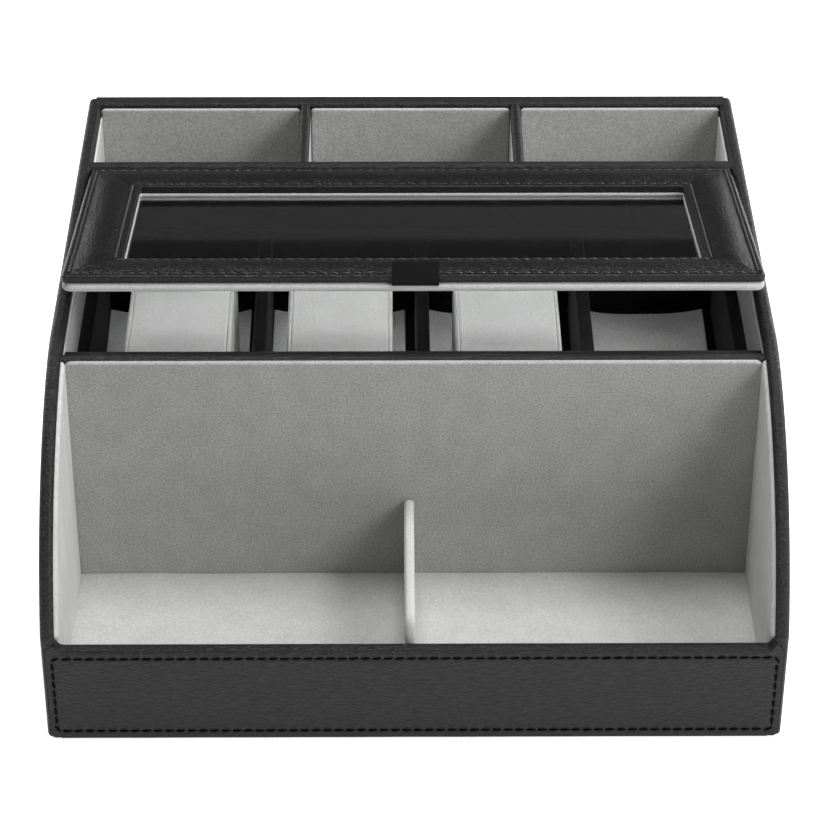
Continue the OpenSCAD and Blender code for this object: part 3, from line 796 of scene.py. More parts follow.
@dataclass
class Shelf:
    """The materials in use, each with the record's slot that it stands for."""

    leather: Finish = Leather("pebbled_cowhide_black")
    # The lid's copy of the leather has darker grain and crease colours than the case's: painted shade on the lid.
    padded: Finish = Leather("pebbled_cowhide_padded_painted_shade", grain="#0f0f10", crease="#0a0a0b", pebble=1.4,
                             stretch=(0.75, 1.0, 1.0), roughness=0.3, specular=0.28, depth=0.24, cell=0.7)
    suede: Finish = Suede("microfibre_suede_grey")
    # A darker copy of the grey suede for the bay floor: painted shade.
    floor_painted_shade: Finish = Suede("microfibre_suede_floor_painted_shade", lit="#c0c0bf", deep="#a8a8a7")
    wiped: Finish = Suede("microfibre_suede_wiped", streak=0.6)
    # A darker copy of the grey suede for the bay's back wall: painted shade.
    wall_painted_shade: Finish = Suede("microfibre_suede_wall_painted_shade", lit="#b5b5b4", deep="#979796", mottle=2.2)
    # A darker copy of the grey suede for the rear bays' walls and the lid's bead: painted shade.
    shaded: Finish = Suede("microfibre_suede_rear_painted_shade", lit="#c2c2c1", deep="#a2a2a1", mottle=2.0)
    # A lighter copy of the grey suede for the pillows, which sit in the lid's shade: painted light.
    pillow_painted_light: Finish = Suede("microfibre_suede_pillow_painted_light", lit="#dadad9", deep="#c6c6c5")
    # A lighter copy of the grey suede for the tray's loose pads under the lid: painted light.
    loose: Finish = Suede("microfibre_suede_pad_painted_light", lit="#eaeae9", deep="#d2d2d1", mottle=2.2)
    velvet: Finish = Pile("cotton_velvet_black")
    felt: Finish = Pile("pressed_wool_felt_black", base="#1d1d1e", tuft=1.6, sheen=0.2)
    ribbon: Finish = Ribbon("woven_nylon_ribbon_black", base="#0c0c0d", specular=0.12)
    thread: Finish = Ribbon("bonded_nylon_thread_black", base="#0a0a0b", rib=0.5, roughness=0.8, specular=0.05)
    # A pale grey copy of the black thread for the lid's stitches: painted highlight where the thread catches the light.
    thread_painted_sheen: Finish = Ribbon("bonded_nylon_thread_painted_sheen", base="#5c5c5d", rib=0.5, roughness=0.32, specular=0.5)
    glass: Finish = Glass("float_glass_clear")
    rubber: Finish = Rubber("moulded_rubber_black")
    steel: Finish = Metal("drawn_steel")
    brass: Finish = Metal("turned_brass", base="#c9a85c", dull="#a3843e")
    board: Finish = Fibreboard("fibreboard_bare")

    def __post_init__(self) -> None:
        """Makes each material once."""
        self.made = {name: getattr(self, name).material() for name in self.__dataclass_fields__}
        slots = {"suede_grey": ("suede", "floor_painted_shade", "wiped", "wall_painted_shade", "shaded", "pillow_painted_light", "loose"),
                 "velvet_black": ("velvet",), "felt_black": ("felt",),
                 "ribbon_black": ("ribbon",), "glass_clear": ("glass",), "grommet_black": ("rubber",),
                 "pin_steel": ("steel",), "bush_brass": ("brass",), "board_bare": ("board",)}
        self.slot_of = {name: slot for slot, names in slots.items() for name in names}

    def fit(self, name: str, shell: Shell, finish: str, *stands_for: str, body: Body = Body.CASE,
            crease: float = 50.0) -> bpy.types.Object:
        """Turns a surface into a piece of the object.

        Args:
            name: The piece's name.
            shell: Its surface.
            finish: Its finish, by the name of this class's field.
            stands_for: The CAD nodes that it replaces.
            body: The body that it rides on.
            crease: Edges sharper than this, in degrees, stay sharp.

        Returns:
            The piece.
        """
        mesh = shell.mesh(name)
        mesh.polygons.foreach_set("use_smooth", np.ones(len(mesh.polygons), bool))
        mesh.set_sharp_from_angle(angle=math.radians(crease))
        mesh.materials.append(self.made[finish])
        piece = put(name, mesh)
        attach(piece, body.value)
        if stands_for:
            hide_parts(*stands_for)
        log.info("%s: %d faces, %s, on the %s", name, len(mesh.polygons), self.made[finish].name, body.value)
        return piece

    def dress(self, finish: str, *nodes: str) -> None:
        """Gives CAD nodes that keep their own shape a finish.

        Args:
            finish: The finish, by the name of this class's field.
            nodes: The nodes.
        """
        for node in nodes:
            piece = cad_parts[node]
            if not piece.material_slots:
                piece.data.materials.append(self.made[finish])
            for place in piece.material_slots:
                place.material = self.made[finish]
            log.info("%s: kept, %s", node, self.made[finish].name)


def drill(piece: bpy.types.Object, centres: list[tuple[float, float]], radius: float, y: float) -> None:
    """Cuts round holes along Y through a piece, with plugs 24 mm long that are taken away again.

    Args:
        piece: The piece to cut.
        centres: The holes' X and Z.
        radius: The holes' radius.
        y: The middle of the plugs.
    """
    circle = arc((0.0, 0.0), radius, 0, 360, 64)[:-1]
    for x, z in centres:
        plug = stack(circle + np.array([x, z]), np.zeros(2), np.array([y - 12, y + 12]), Along.Y, (0.5,)).mesh("plug")
        cutter = put("plug", plug)
        cut = piece.modifiers.new("hole", "BOOLEAN")
        cut.operation, cut.solver, cut.object = "DIFFERENCE", "EXACT", cutter
        bpy.context.view_layer.update()
        done = bpy.data.meshes.new_from_object(piece.evaluated_get(bpy.context.evaluated_depsgraph_get()))
        piece.modifiers.remove(cut)
        old, piece.data = piece.data, done
        bpy.data.objects.remove(cutter)
        for mesh in (old, plug):
            bpy.data.meshes.remove(mesh)
    piece.data.name = piece.name


# Sub-assemblies


@dataclass
class Case:
    """The carcass: two side panels with a swept front edge, front lip, back, walls and rear bays."""

    half_w: float = 159.0
    half_d: float = 161.0
    top: float = 139.5
    side_in: float = 153.0
    foot: float = 0.3
    skin_t: float = 0.9
    roll: float = 2.2
    lip: float = 1.2
    hem: float = 0.9
    turn_in: float = 6.5
    front_h: float = 48.6
    rim: float = 139.9
    front_in: float = -155.0
    sweep: tuple[float, float, float] = (-30.33, 1.01, 141.5)
    blend: tuple[float, float, float] = (-49.33, 59.5, 80.0)
    knee: float = 55.3
    bay_wall: tuple[float, float] = (-67.4, -60.4)
    bay_wall_top: float = 135.0
    hinge_wall: tuple[float, float] = (92.2, 98.8)
    back_in: float = 153.0
    floor: float = 12.0
    bay_floor: float = 19.2
    fence_top: float = 61.2
    fillet: float = 3.5
    base_top: float = 8.0
    divider_x: float = 51.83
    divider_t: float = 5.0
    ports: tuple[float, ...] = (-103.67, 0.0, 103.67)
    port_z: float = 32.0
    tube_r: float = 12.0
    hem_in: float = 1.6
    foot_corner: float = 2.6
    top_corner: float = 2.5
    least_corner: float = 0.8
    card_proud: float = 1.7
    fence_x: tuple[float, float] = (-4.2, 0.2)
    fence_front: float = -154.2
    fence_round: float = 1.7
    cap_reach: float = 1.014
    channel: tuple[float, float, float] = (0.45, 0.12, 0.65)
    pitch: float = 4.9
    stitch: tuple[float, float, float] = (3.9, 0.5, 0.08)
    seam: tuple[tuple[float, float], tuple[float, float]] = ((-154.6, 4.6), (154.6, 44.6))

    def side_outline(self, inset: float = 0.0) -> np.ndarray:
        """A side panel seen from the right: straight foot and back, flat top, two arcs down to the front edge.

        Args:
            inset: How far the outline is drawn in all round.

        Returns:
            The outline as (n, 2) of Y and Z, anticlockwise.
        """
        d = self.half_d - inset
        c, b = (max(r - inset, self.least_corner) for r in (self.foot_corner, self.top_corner))
        foot, top = self.foot + inset, self.top - inset
        (sy, sz, sr), (by, bz, br) = self.sweep, self.blend
        end = math.acos((-d - sy) / (sr - inset))
        knee = sz + (sr - inset) * math.sin(end)
        return trace(
            run((-d + c, foot), (d - c, foot)), arc((d - c, foot + c), c, -90, 0),
            run((d, foot + c), (d, top - b)), arc((d - b, top - b), b, 0, 90),
            run((d - b, top), (by, top)), arc((by, bz), br - inset, 90, 108, 16),
            arc((sy, sz), sr - inset, 108, math.degrees(end), 84)[:-1],
            run((-d, knee), (-d, foot + c), 0.8), arc((-d + c, foot + c), c, 180, 270)[:-1])

    def side_leather(self) -> Shell:
        """The right side's leather: over the outer face, round the edge in a full roll, and folded in on the inside.

        Each ring is the outline drawn in; round each of the two edges, the inset is r - r cos t and X moves by
        r sin t, and the skin's own inside follows 0.9 mm deeper. A short slanting tuck closes the front corner.

        Returns:
            The closed surface.
        """
        r = self.roll
        q = r - self.skin_t
        t = np.radians(np.concatenate([np.linspace(90, 0, 9), np.linspace(0, -90, 9)]))
        x = np.repeat([self.half_w - r, self.side_in + r], 9)
        insets = np.concatenate([r - r * np.cos(t), [self.turn_in - 0.4, self.turn_in, self.turn_in],
                                 (r - q * np.cos(t))[::-1]])
        xs = np.concatenate([x + r * np.sin(t), [self.side_in, self.side_in + 0.35, self.side_in + 0.9],
                             (x + q * np.sin(t))[::-1]])
        made = stack(self.side_outline(), insets, xs, Along.X)
        p = made.points
        slope = self.front_h + self.fillet * (1 - 0.8 * ease(p[:, 0], self.side_in, self.half_w - self.hem_in))
        behind = (p[:, 0] < self.half_w - self.hem_in) & (p[:, 1] < -self.half_d + 1) & (p[:, 2] < slope - 0.1)
        p[behind, 1] = -self.half_d + 0.9 + 0.1 * (p[behind, 1] + self.half_d)
        ahead = (p[:, 0] < self.half_w - self.hem_in) & (p[:, 1] > self.half_d - 1) & (p[:, 2] < self.top - 1)
        p[ahead, 1] = self.half_d - 0.9 + 0.1 * (p[ahead, 1] - self.half_d)
        # The tuck runs from the inner edge, 55 mm up, to the outer edge, 50 mm up.
        tuck = p[:, 2] - (self.knee - (p[:, 0] - self.side_in) * 5 / 4.7)
        front = ease(-p[:, 1], self.half_d - 3.5, self.half_d - 1.5)
        p[:, 1] += 0.5 * front * np.exp(-(tuck / 0.6) ** 2)
        return made

    def front_leather(self) -> tuple[Shell, np.ndarray]:
        """The front's leather: under the foot, up the face, over the lip in a full roll and folded in.

        The line is carried across the width; beyond the side panels' inner faces its depth shrinks to the bare
        sheet. A sewn channel 0.45 mm deep follows the seam, and dips at each stitch.

        Returns:
            The closed surface, and the seam's line.
        """
        y0, r, h = -self.half_d, self.lip, self.hem
        z1 = self.front_h - r
        path = trace(
            run((y0 + 5, self.foot), (y0 + h, self.foot), 1.0), arc((y0 + h, self.foot + h), h, 270, 180),
            run((y0, self.foot + h), (y0, z1), 0.7), arc((y0 + r, z1), r, 180, 90, 10),
            arc((self.front_in - 1.0, self.front_h - 1.0), 1.0, 90, 0, 6),
            run((self.front_in, self.front_h - 1.0), (self.front_in, self.front_h - self.turn_in), 1.0),
            np.array([[self.front_in, self.front_h - self.turn_in]]))
        path = path[::-1]
        e = self.half_w - self.hem_in
        stations = np.concatenate([[-e, -e + 0.15], np.linspace(-e + 0.5, -self.side_in - 0.05, 6),
                                   np.linspace(-self.side_in, self.side_in, 385),
                                   np.linspace(self.side_in + 0.05, e - 0.5, 6), [e - 0.15, e]])
        made = skin(path, self.skin_t, stations)
        p = made.points
        # A fold runs along the lip's front edge, and the lip swells a little behind it.
        fold = 0.36 * np.exp(-(np.hypot(p[:, 1] - y0 - 0.3 * r, p[:, 2] - self.front_h + 0.3 * r) / 0.6) ** 2)
        p[:, 1] += fold
        p[:, 2] -= fold
        p[:, 2] += 0.35 * np.exp(-((p[:, 1] - y0 - 3.4) / 1.3) ** 2) * ease(p[:, 2], z1, self.front_h)
        # The lip climbs into the side panels in a fillet, and its ends slant down again as tucks.
        climb = np.clip(np.abs(p[:, 0]) - self.side_in + self.fillet, 0, self.fillet)
        climb = self.fillet - np.sqrt(np.maximum(self.fillet**2 - climb**2, 0))
        climb *= 1 - 0.8 * ease(np.abs(p[:, 0]), self.side_in, e)
        p[:, 2] += climb * ease(p[:, 2], self.front_h - 7, self.front_h - 1)
        end = np.abs(p[:, 0]) > self.side_in + 0.01
        p[end, 1] = y0 + (p[end, 1] - y0) * 0.16
        # Its lower corners are round, 2.2 mm in radius.
        corner = 2.2
        turn = np.clip(np.abs(p[:, 0]) - e + corner, 0, corner)
        low = (self.foot + 3.0 - np.sqrt(np.maximum(corner**2 - turn**2, 0)))[end]
        p[end, 2] = np.where(p[end, 2] < low, low - 0.05 * (low - p[end, 2]), p[end, 2])
        lo, hi = self.seam
        line = soft_rectangle(lo, hi, (2.0,) * 4, (120, 24))
        off = off_rectangle(p[:, 0], p[:, 2], lo, hi)
        face = p[:, 1] < y0 + 0.5
        level = np.abs(p[:, 2] - lo[1]) < 1.5
        level |= np.abs(p[:, 2] - hi[1]) < 1.5
        beat = np.cos(2 * math.pi * np.where(level, p[:, 0], p[:, 2]) / self.pitch)
        depth, dip, width = self.channel
        p[:, 1] += face * (depth + dip * beat) * np.exp(-(off / width) ** 2)
        p[:, 1] += face * 0.12 * ripple(p[:, 0], p[:, 2], 46.0) * ease(off, 1.0, 8.0)
        return made, np.column_stack([line[:, 0], np.full(len(line), y0 + 0.3), line[:, 1]])

    def back_leather(self) -> Shell:
        """The back's leather: under the foot, up the outside, over the rim and down inside, as the front's is.

        Returns:
            The closed surface.
        """
        y1, r, q, h = self.half_d, self.lip, self.roll, self.hem
        path = trace(
            run((y1 - 5, self.foot), (y1 - h, self.foot), 1.0), arc((y1 - h, self.foot + h), h, -90, 0),
            run((y1, self.foot + h), (y1, self.rim - r), 4.0), arc((y1 - r, self.rim - r), r, 0, 90, 8),
            arc((self.back_in + q, self.rim - q), q, 90, 180, 8),
            run((self.back_in, self.rim - q), (self.back_in, self.top - self.turn_in), 1.0),
            np.array([[self.back_in, self.top - self.turn_in]]))
        e, f = self.half_w - self.hem_in, self.side_in + 2.4
        stations = np.concatenate([[-e, -e + 0.15, -f - 0.05], np.linspace(-f, f, 80), [f + 0.05, e - 0.15, e]])
        made = skin(path, self.skin_t, stations)
        p = made.points
        end = np.abs(p[:, 0]) > f + 0.01
        p[end, 1] = y1 + (p[end, 1] - y1) * 0.12
        low, high = self.foot + 1.2, self.top - 2.6
        p[end, 2] = np.clip(p[end, 2], low, high) * 0.95 + 0.05 * np.clip(p[end, 2], low - 2, high + 3)
        return made

    def cap(self, low: float, high: float, top: float, stations: np.ndarray, along: Along = Along.X) -> Shell:
        """A leather edging folded over a wall's top: up one face, over two quarter circles and down the other.

        Args:
            low: The wall's low face.
            high: Its high face.
            top: Its top.
            stations: Where the line is repeated along the wall.
            along: The wall's direction.

        Returns:
            The closed surface.
        """
        r = (high - low) / 2 - 0.15
        z = top - r
        foot = top - self.turn_in
        path = trace(run((high, foot), (high, z), 0.8), arc((high - r, z), r, 0, 90, 8),
                     arc((low + r, z), r, 90, 180, 8), run((low, z), (low, foot), 0.8), np.array([[low, foot]]))
        return skin(path, self.skin_t, stations, along)

    def bay_card(self) -> np.ndarray:
        """The padded card on the front bay's right side, seen from the right.

        It is the side's outline drawn in by 2.4 mm, from the floor to the bay's wall. Below the lip it stays behind
        the front, and above it swings out to the edge in a smooth step.

        Returns:
            The outline as (n, 2) of Y and Z, anticlockwise.
        """
        back = self.bay_wall[0] - 0.2
        line = self.side_outline(2.4)
        line = line[(line[:, 0] < back) & (line[:, 1] > self.base_top)]
        line[:, 0] = np.maximum(line[:, 0], self.front_in - 0.2 - 4.0 * ease(line[:, 1], 49.0, 57.0))
        line[0, 0] = back
        low = (float(line[-1, 0]), self.base_top)
        return trace(line, run(low, (back, self.base_top)), run((back, self.base_top), (back, float(line[0, 1]))))

    def bay_panels(self) -> dict[str, tuple[Shell, str, str]]:
        """The suede panels of the front bay, each a card with a rounded, wrapped edge.

        Returns:
            For each piece, its surface, its finish and the node that it stands for.
        """
        side = panel(self.side_outline(self.turn_in + 0.4), self.side_in - 0.6, self.side_in + 1, 0.6, 0.2, Along.X)
        proud = self.card_proud
        side += panel(self.bay_card(), self.side_in - proud, self.side_in + 1, proud, 0.2, Along.X, 6)
        wall = soft_rectangle((-self.side_in + 0.2, self.base_top), (self.side_in - 0.2, self.bay_wall_top - 0.8),
                              (1.5, 1.5, 4.5, 4.5), (60, 30))
        front = soft_rectangle((-self.side_in + 0.2, self.base_top), (self.side_in - 0.2, self.front_h - 6.9),
                               (1.5, 1.5, 2.5, 2.5), (60, 12))
        floor = soft_rectangle((-self.side_in + 0.3, self.front_in + 0.2), (self.side_in - 0.3, self.bay_wall[0] - 0.5),
                               (2.5,) * 4, (90, 26))
        pad = panel(floor, self.base_top, self.bay_floor, 0.5, 1.2, Along.Z, shares=(0.985, 0.9, 0.75, 0.5, 0.25))
        p = pad.points
        lift = ease(p[:, 2], self.base_top + 1, self.bay_floor)
        p[:, 2] += lift * 0.25 * ripple(p[:, 0], p[:, 1], 60.0)
        fence = soft_rectangle((self.fence_front, self.bay_floor - 1.5), (self.bay_wall[0] - 0.2, self.fence_top),
                               (2.0, 2.0, 3.0, 5.0), (40, 20))
        fence = panel(fence, *self.fence_x, self.fence_round, self.fence_round, Along.X, steps=6)
        return {
            "right_side_lining_suede": (side, "wiped", "right_side_lining"),
            "left_side_lining_suede": (side.mirrored(), "wiped", "left_side_lining"),
            # The bay's back wall takes the darker copy of the suede: painted shade.
            "bay_wall_suede": (panel(wall, self.bay_wall[0] - 1.0, self.bay_wall[0] + 1, 1.0, 0.2, Along.Y), "wall_painted_shade",
                               "bay_wall_lining"),
            "front_lining_suede": (panel(front, self.front_in - 1, self.front_in + 0.5, 0.2, 0.9, Along.Y), "suede",
                                   "front_lining"),
            # The bay floor takes the darker copy of the suede: painted shade.
            "bay_floor_suede": (pad, "floor_painted_shade", "bay_floor_pad"),
            "bay_divider_suede": (fence, "suede", "bay_divider"),
        }

    def rear_panels(self) -> dict[str, tuple[Shell, str, str]]:
        """The suede panels of the three rear bays.

        Returns:
            For each piece, its surface, its finish and the node that it stands for.
        """
        y0, y1, top = self.hinge_wall[1], self.back_in, self.top - self.turn_in
        half = self.divider_t / 2
        bays = [(-self.side_in, -self.divider_x - half), (-self.divider_x + half, self.divider_x - half),
                (self.divider_x + half, self.side_in)]
        fronts = [soft_block((a + 0.2, y0 - 1, self.base_top), (b - 0.2, y0 + 0.8, top - 0.3), Along.Y, 0.8, 2.0)
                  for a, b in bays]
        backs = [soft_block((a + 0.2, y1 - 1.2, self.base_top), (b - 0.2, y1 + 1, self.top - 2.2), Along.Y, 0.9, 2.0)
                 for a, b in bays]
        pads = [soft_block((a + 0.3, y0 + 0.3, self.base_top), (b - 0.3, y1 - 0.3, self.floor), Along.Z, 1.5, 2.5)
                for a, b in bays]
        fins = [soft_block((x - half, y0 + 0.1, self.base_top), (x + half, y1 - 0.1, top - 0.2), Along.X, 0.6, 1.0)
                for x in (-self.divider_x, self.divider_x)]
        return {
            # The rear bays' front and back linings take the darker copy of the suede: painted shade.
            "rear_bay_front_suede": (joined(fronts), "shaded", "rear_bay_front_linings"),
            "rear_bay_back_suede": (joined(backs), "shaded", "rear_bay_back_linings"),
            "rear_bay_floor_suede": (joined(pads), "suede", "rear_bay_floor_pads"),
            "rear_divider_left_suede": (fins[0], "suede", "rear_divider_left"),
            "rear_divider_right_suede": (fins[1], "suede", "rear_divider_right"),
        }

    def grommets(self) -> Shell:
        """The cord ports' rubber rings: a tube through the back with a rounded flange outside.

        Returns:
            The three rings.
        """
        y0, y1, flange = self.back_in - 0.4, self.half_d + 0.6, self.half_d - 0.1
        profile = trace(arc((9.8, y0 + 0.8), 0.8, 270, 180, 4), arc((9.9, y1 - 0.9), 0.9, 180, 90, 4),
                        arc((14.1, y1 - 0.9), 0.9, 90, 0, 4), np.array([[15.0, flange], [self.tube_r, flange]]),
                        arc((11.2, y0 + 0.8), 0.8, 0, -90, 4))
        return joined(turned(profile, (x, self.port_z)) for x in self.ports)

    def build(self, shelf: Shelf) -> None:
        """Makes and dresses the case's pieces.

        Args:
            shelf: The materials.
        """
        side = self.side_leather()
        shelf.fit("right_side_skin", side, "leather", "right_side_leather")
        shelf.fit("left_side_skin", side.mirrored(), "leather", "left_side_leather")
        face, seam = self.front_leather()
        shelf.fit("front_skin", face, "leather", "front_leather")
        shelf.fit("front_stitching", stitches(seam, (0, -1, 0), self.pitch, *self.stitch), "thread")
        holes = [(x, self.port_z) for x in self.ports]
        back = shelf.fit("back_skin", self.back_leather(), "leather", "back_leather")
        drill(back, holes, self.tube_r, self.half_d)
        across = np.linspace(-self.side_in, self.side_in, 100)
        shelf.fit("bay_wall_cap", self.cap(*self.bay_wall, self.bay_wall_top, across), "leather", "bay_wall_edging")
        shelf.fit("hinge_wall_cap", self.cap(*self.hinge_wall, self.top, across * self.cap_reach), "leather",
                  "hinge_wall_edging")
        deep = np.linspace(self.hinge_wall[1] - 2.6, self.back_in + 0.4, 30)
        half = self.divider_t / 2
        caps = joined(self.cap(x - half, x + half, self.top, deep, Along.Y) for x in (-self.divider_x, self.divider_x))
        shelf.fit("rear_divider_skins", caps, "leather", "rear_divider_caps")
        for name, (shell, finish, node) in (self.bay_panels() | self.rear_panels()).items():
            piece = shelf.fit(name, shell, finish, node)
            if name == "rear_bay_back_suede":
                drill(piece, holes, self.tube_r - 0.5, self.back_in)
        shelf.fit("cord_port_rings", self.grommets(), "rubber", "cord_grommets")
        core = panel(self.side_outline(1.2), self.side_in + 1.1, self.half_w - 1.1, 0.9, 0.9, Along.X)
        shelf.fit("right_side_core", core, "board", "right_side_board")
        shelf.fit("left_side_core", core.mirrored(), "board", "left_side_board")
        shelf.dress("board", "base_board", "front_board", "back_board", "bay_wall_board", "hinge_wall_board",
                    "tray_supports")
        shelf.dress("felt", "base_felt")
        shelf.dress("steel", "hinge_pins")


@dataclass
class WatchTray:
    """The black tray under the lid, its four loose pads and the three watch pillows."""

    wall_rounds: tuple[float, float] = (1.4, 2.0)
    facing_rounds: tuple[float, float] = (0.45, 0.8)
    slots: tuple[tuple[float, float], ...] = ((-146.7, -77.7), (-67.0, -2.8), (7.9, 72.1), (82.8, 142.2))
    pad_y: tuple[float, float] = (-54.1, 81.4)
    pad_z: tuple[float, float] = (60.0, 62.0)
    curl: float = 3.6
    curl_from: float = 30.0
    pillow_w: float = 47.2
    pillow_x: tuple[float, float, float] = (-104.35, -32.65, 42.25)
    pillow_y: tuple[float, float] = (-52.6, 26.4)
    pillow_z: tuple[float, float] = (62.0, 127.7)
    crown: float = 1.2
    draw: float = 1.0

    def pad(self, left: float, right: float) -> Shell:
        """A loose suede pad, 2 mm thick: its back corners curl up with the cube of the way out from the middle.

        Args:
            left: Its left edge.
            right: Its right edge.

        Returns:
            The closed surface.
        """
        outline = soft_rectangle((left + 0.3, self.pad_y[0] + 0.3), (right, self.pad_y[1]), (1.2,) * 4, (24, 40))
        made = panel(outline, *self.pad_z, 0.8, 0.8, Along.Z, shares=(0.985, 0.92, 0.8, 0.65, 0.5, 0.35, 0.2))
        p = made.points
        u = (p[:, 0] - (left + right) / 2) / ((right - left) / 2)
        v = ease(p[:, 1], self.curl_from, self.pad_y[1])
        p[:, 2] += v * (self.curl * np.abs(u) ** 3 + 0.3 + 0.3 * np.sin(2.2 * u + left))
        return made

    def pillow(self) -> Shell:
        """A watch pillow about its own middle: a padded band between two side panels.

        Each ring is the side's outline. From the side panel's middle it runs out to the rim, over a rolled edge,
        into the seam's groove 1.9 mm in, and across the band, which swells by 1.2 mm with one minus the square of
        the way out. The foot stays flat, and the sides draw in.

        Returns:
            The closed surface.
        """
        h = self.pillow_w / 2
        outline = soft_rectangle((self.pillow_y[0], self.pillow_z[0]), (self.pillow_y[1], self.pillow_z[1]),
                                 (5.0, 5.0, 8.0, 8.0), (44, 36), 10)
        half = np.array([[4.6, self.draw * 0.5], [3.8, self.draw * 0.25], [2.8, self.draw * 0.05], [1.7, 0.1],
                         [0.8, 0.45], [0.3, 0.95], [0.1, 1.4], [0.35, 1.75], [0.62, 1.95], [0.35, 2.15],
                         [0.05, 2.5]])
        band = np.linspace(-h + 3.2, h - 3.2, 25)
        insets = np.concatenate([half[:, 0], 0.05 - self.crown * (1 - (band / (h - 3.0)) ** 2), half[::-1, 0]])
        x = np.concatenate([-h + half[:, 1], band, h - half[::-1, 1]])
        up = out_of(outline)[:, 1]
        swell = np.where(insets[:, None] < 0, np.clip(0.5 + 0.5 * up, 0, 1)[None], 1.0)
        made = stack(outline, insets[:, None] * swell, x, Along.X, (0.9, 0.6, 0.3))
        p = made.points
        free = ease(p[:, 2], self.pillow_z[0] + 2, self.pillow_z[0] + 20)
        p[:, 2] += 0.22 * free * ripple(p[:, 0], p[:, 1], 34.0)
        p[:, 1] += 0.15 * free * ripple(p[:, 2], p[:, 0], 30.0)
        return made

    def build(self, shelf: Shelf) -> None:
        """Makes and dresses the tray's pieces.

        Args:
            shelf: The materials.
        """
        walls = {"tray_front_wall": Along.Y, "tray_rear_wall": Along.Y, "tray_left_wall": Along.X,
                 "tray_right_wall": Along.X, "tray_divider_left": Along.X, "tray_divider_mid": Along.X,
                 "tray_divider_right": Along.X, "lid_rest": Along.Y, "bay_wall_facing": Along.Y,
                 "hinge_wall_facing": Along.Y}
        for node, along in walls.items():
            lo, hi = (tuple(np.array(corner) / MM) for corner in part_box(node))
            rounds = self.wall_rounds if node.startswith("tray") else self.facing_rounds
            shelf.fit(f"{node}_velvet", soft_block(lo, hi, along, *rounds, (30, 14)), "velvet", node)
        shelf.dress("velvet", "tray_base")
        pads = joined(self.pad(*slot) for slot in self.slots)
        # The pads take the lighter copy of the suede: painted light.
        shelf.fit("tray_pads_suede", pads, "loose", "tray_floor_pads")
        for name, x in zip(("left", "mid", "right"), self.pillow_x):
            # The pillows take the lighter copy of the suede: painted light.
            piece = shelf.fit(f"pillow_{name}", self.pillow().shifted(x), "pillow_painted_light", "watch_pillow_" + name)


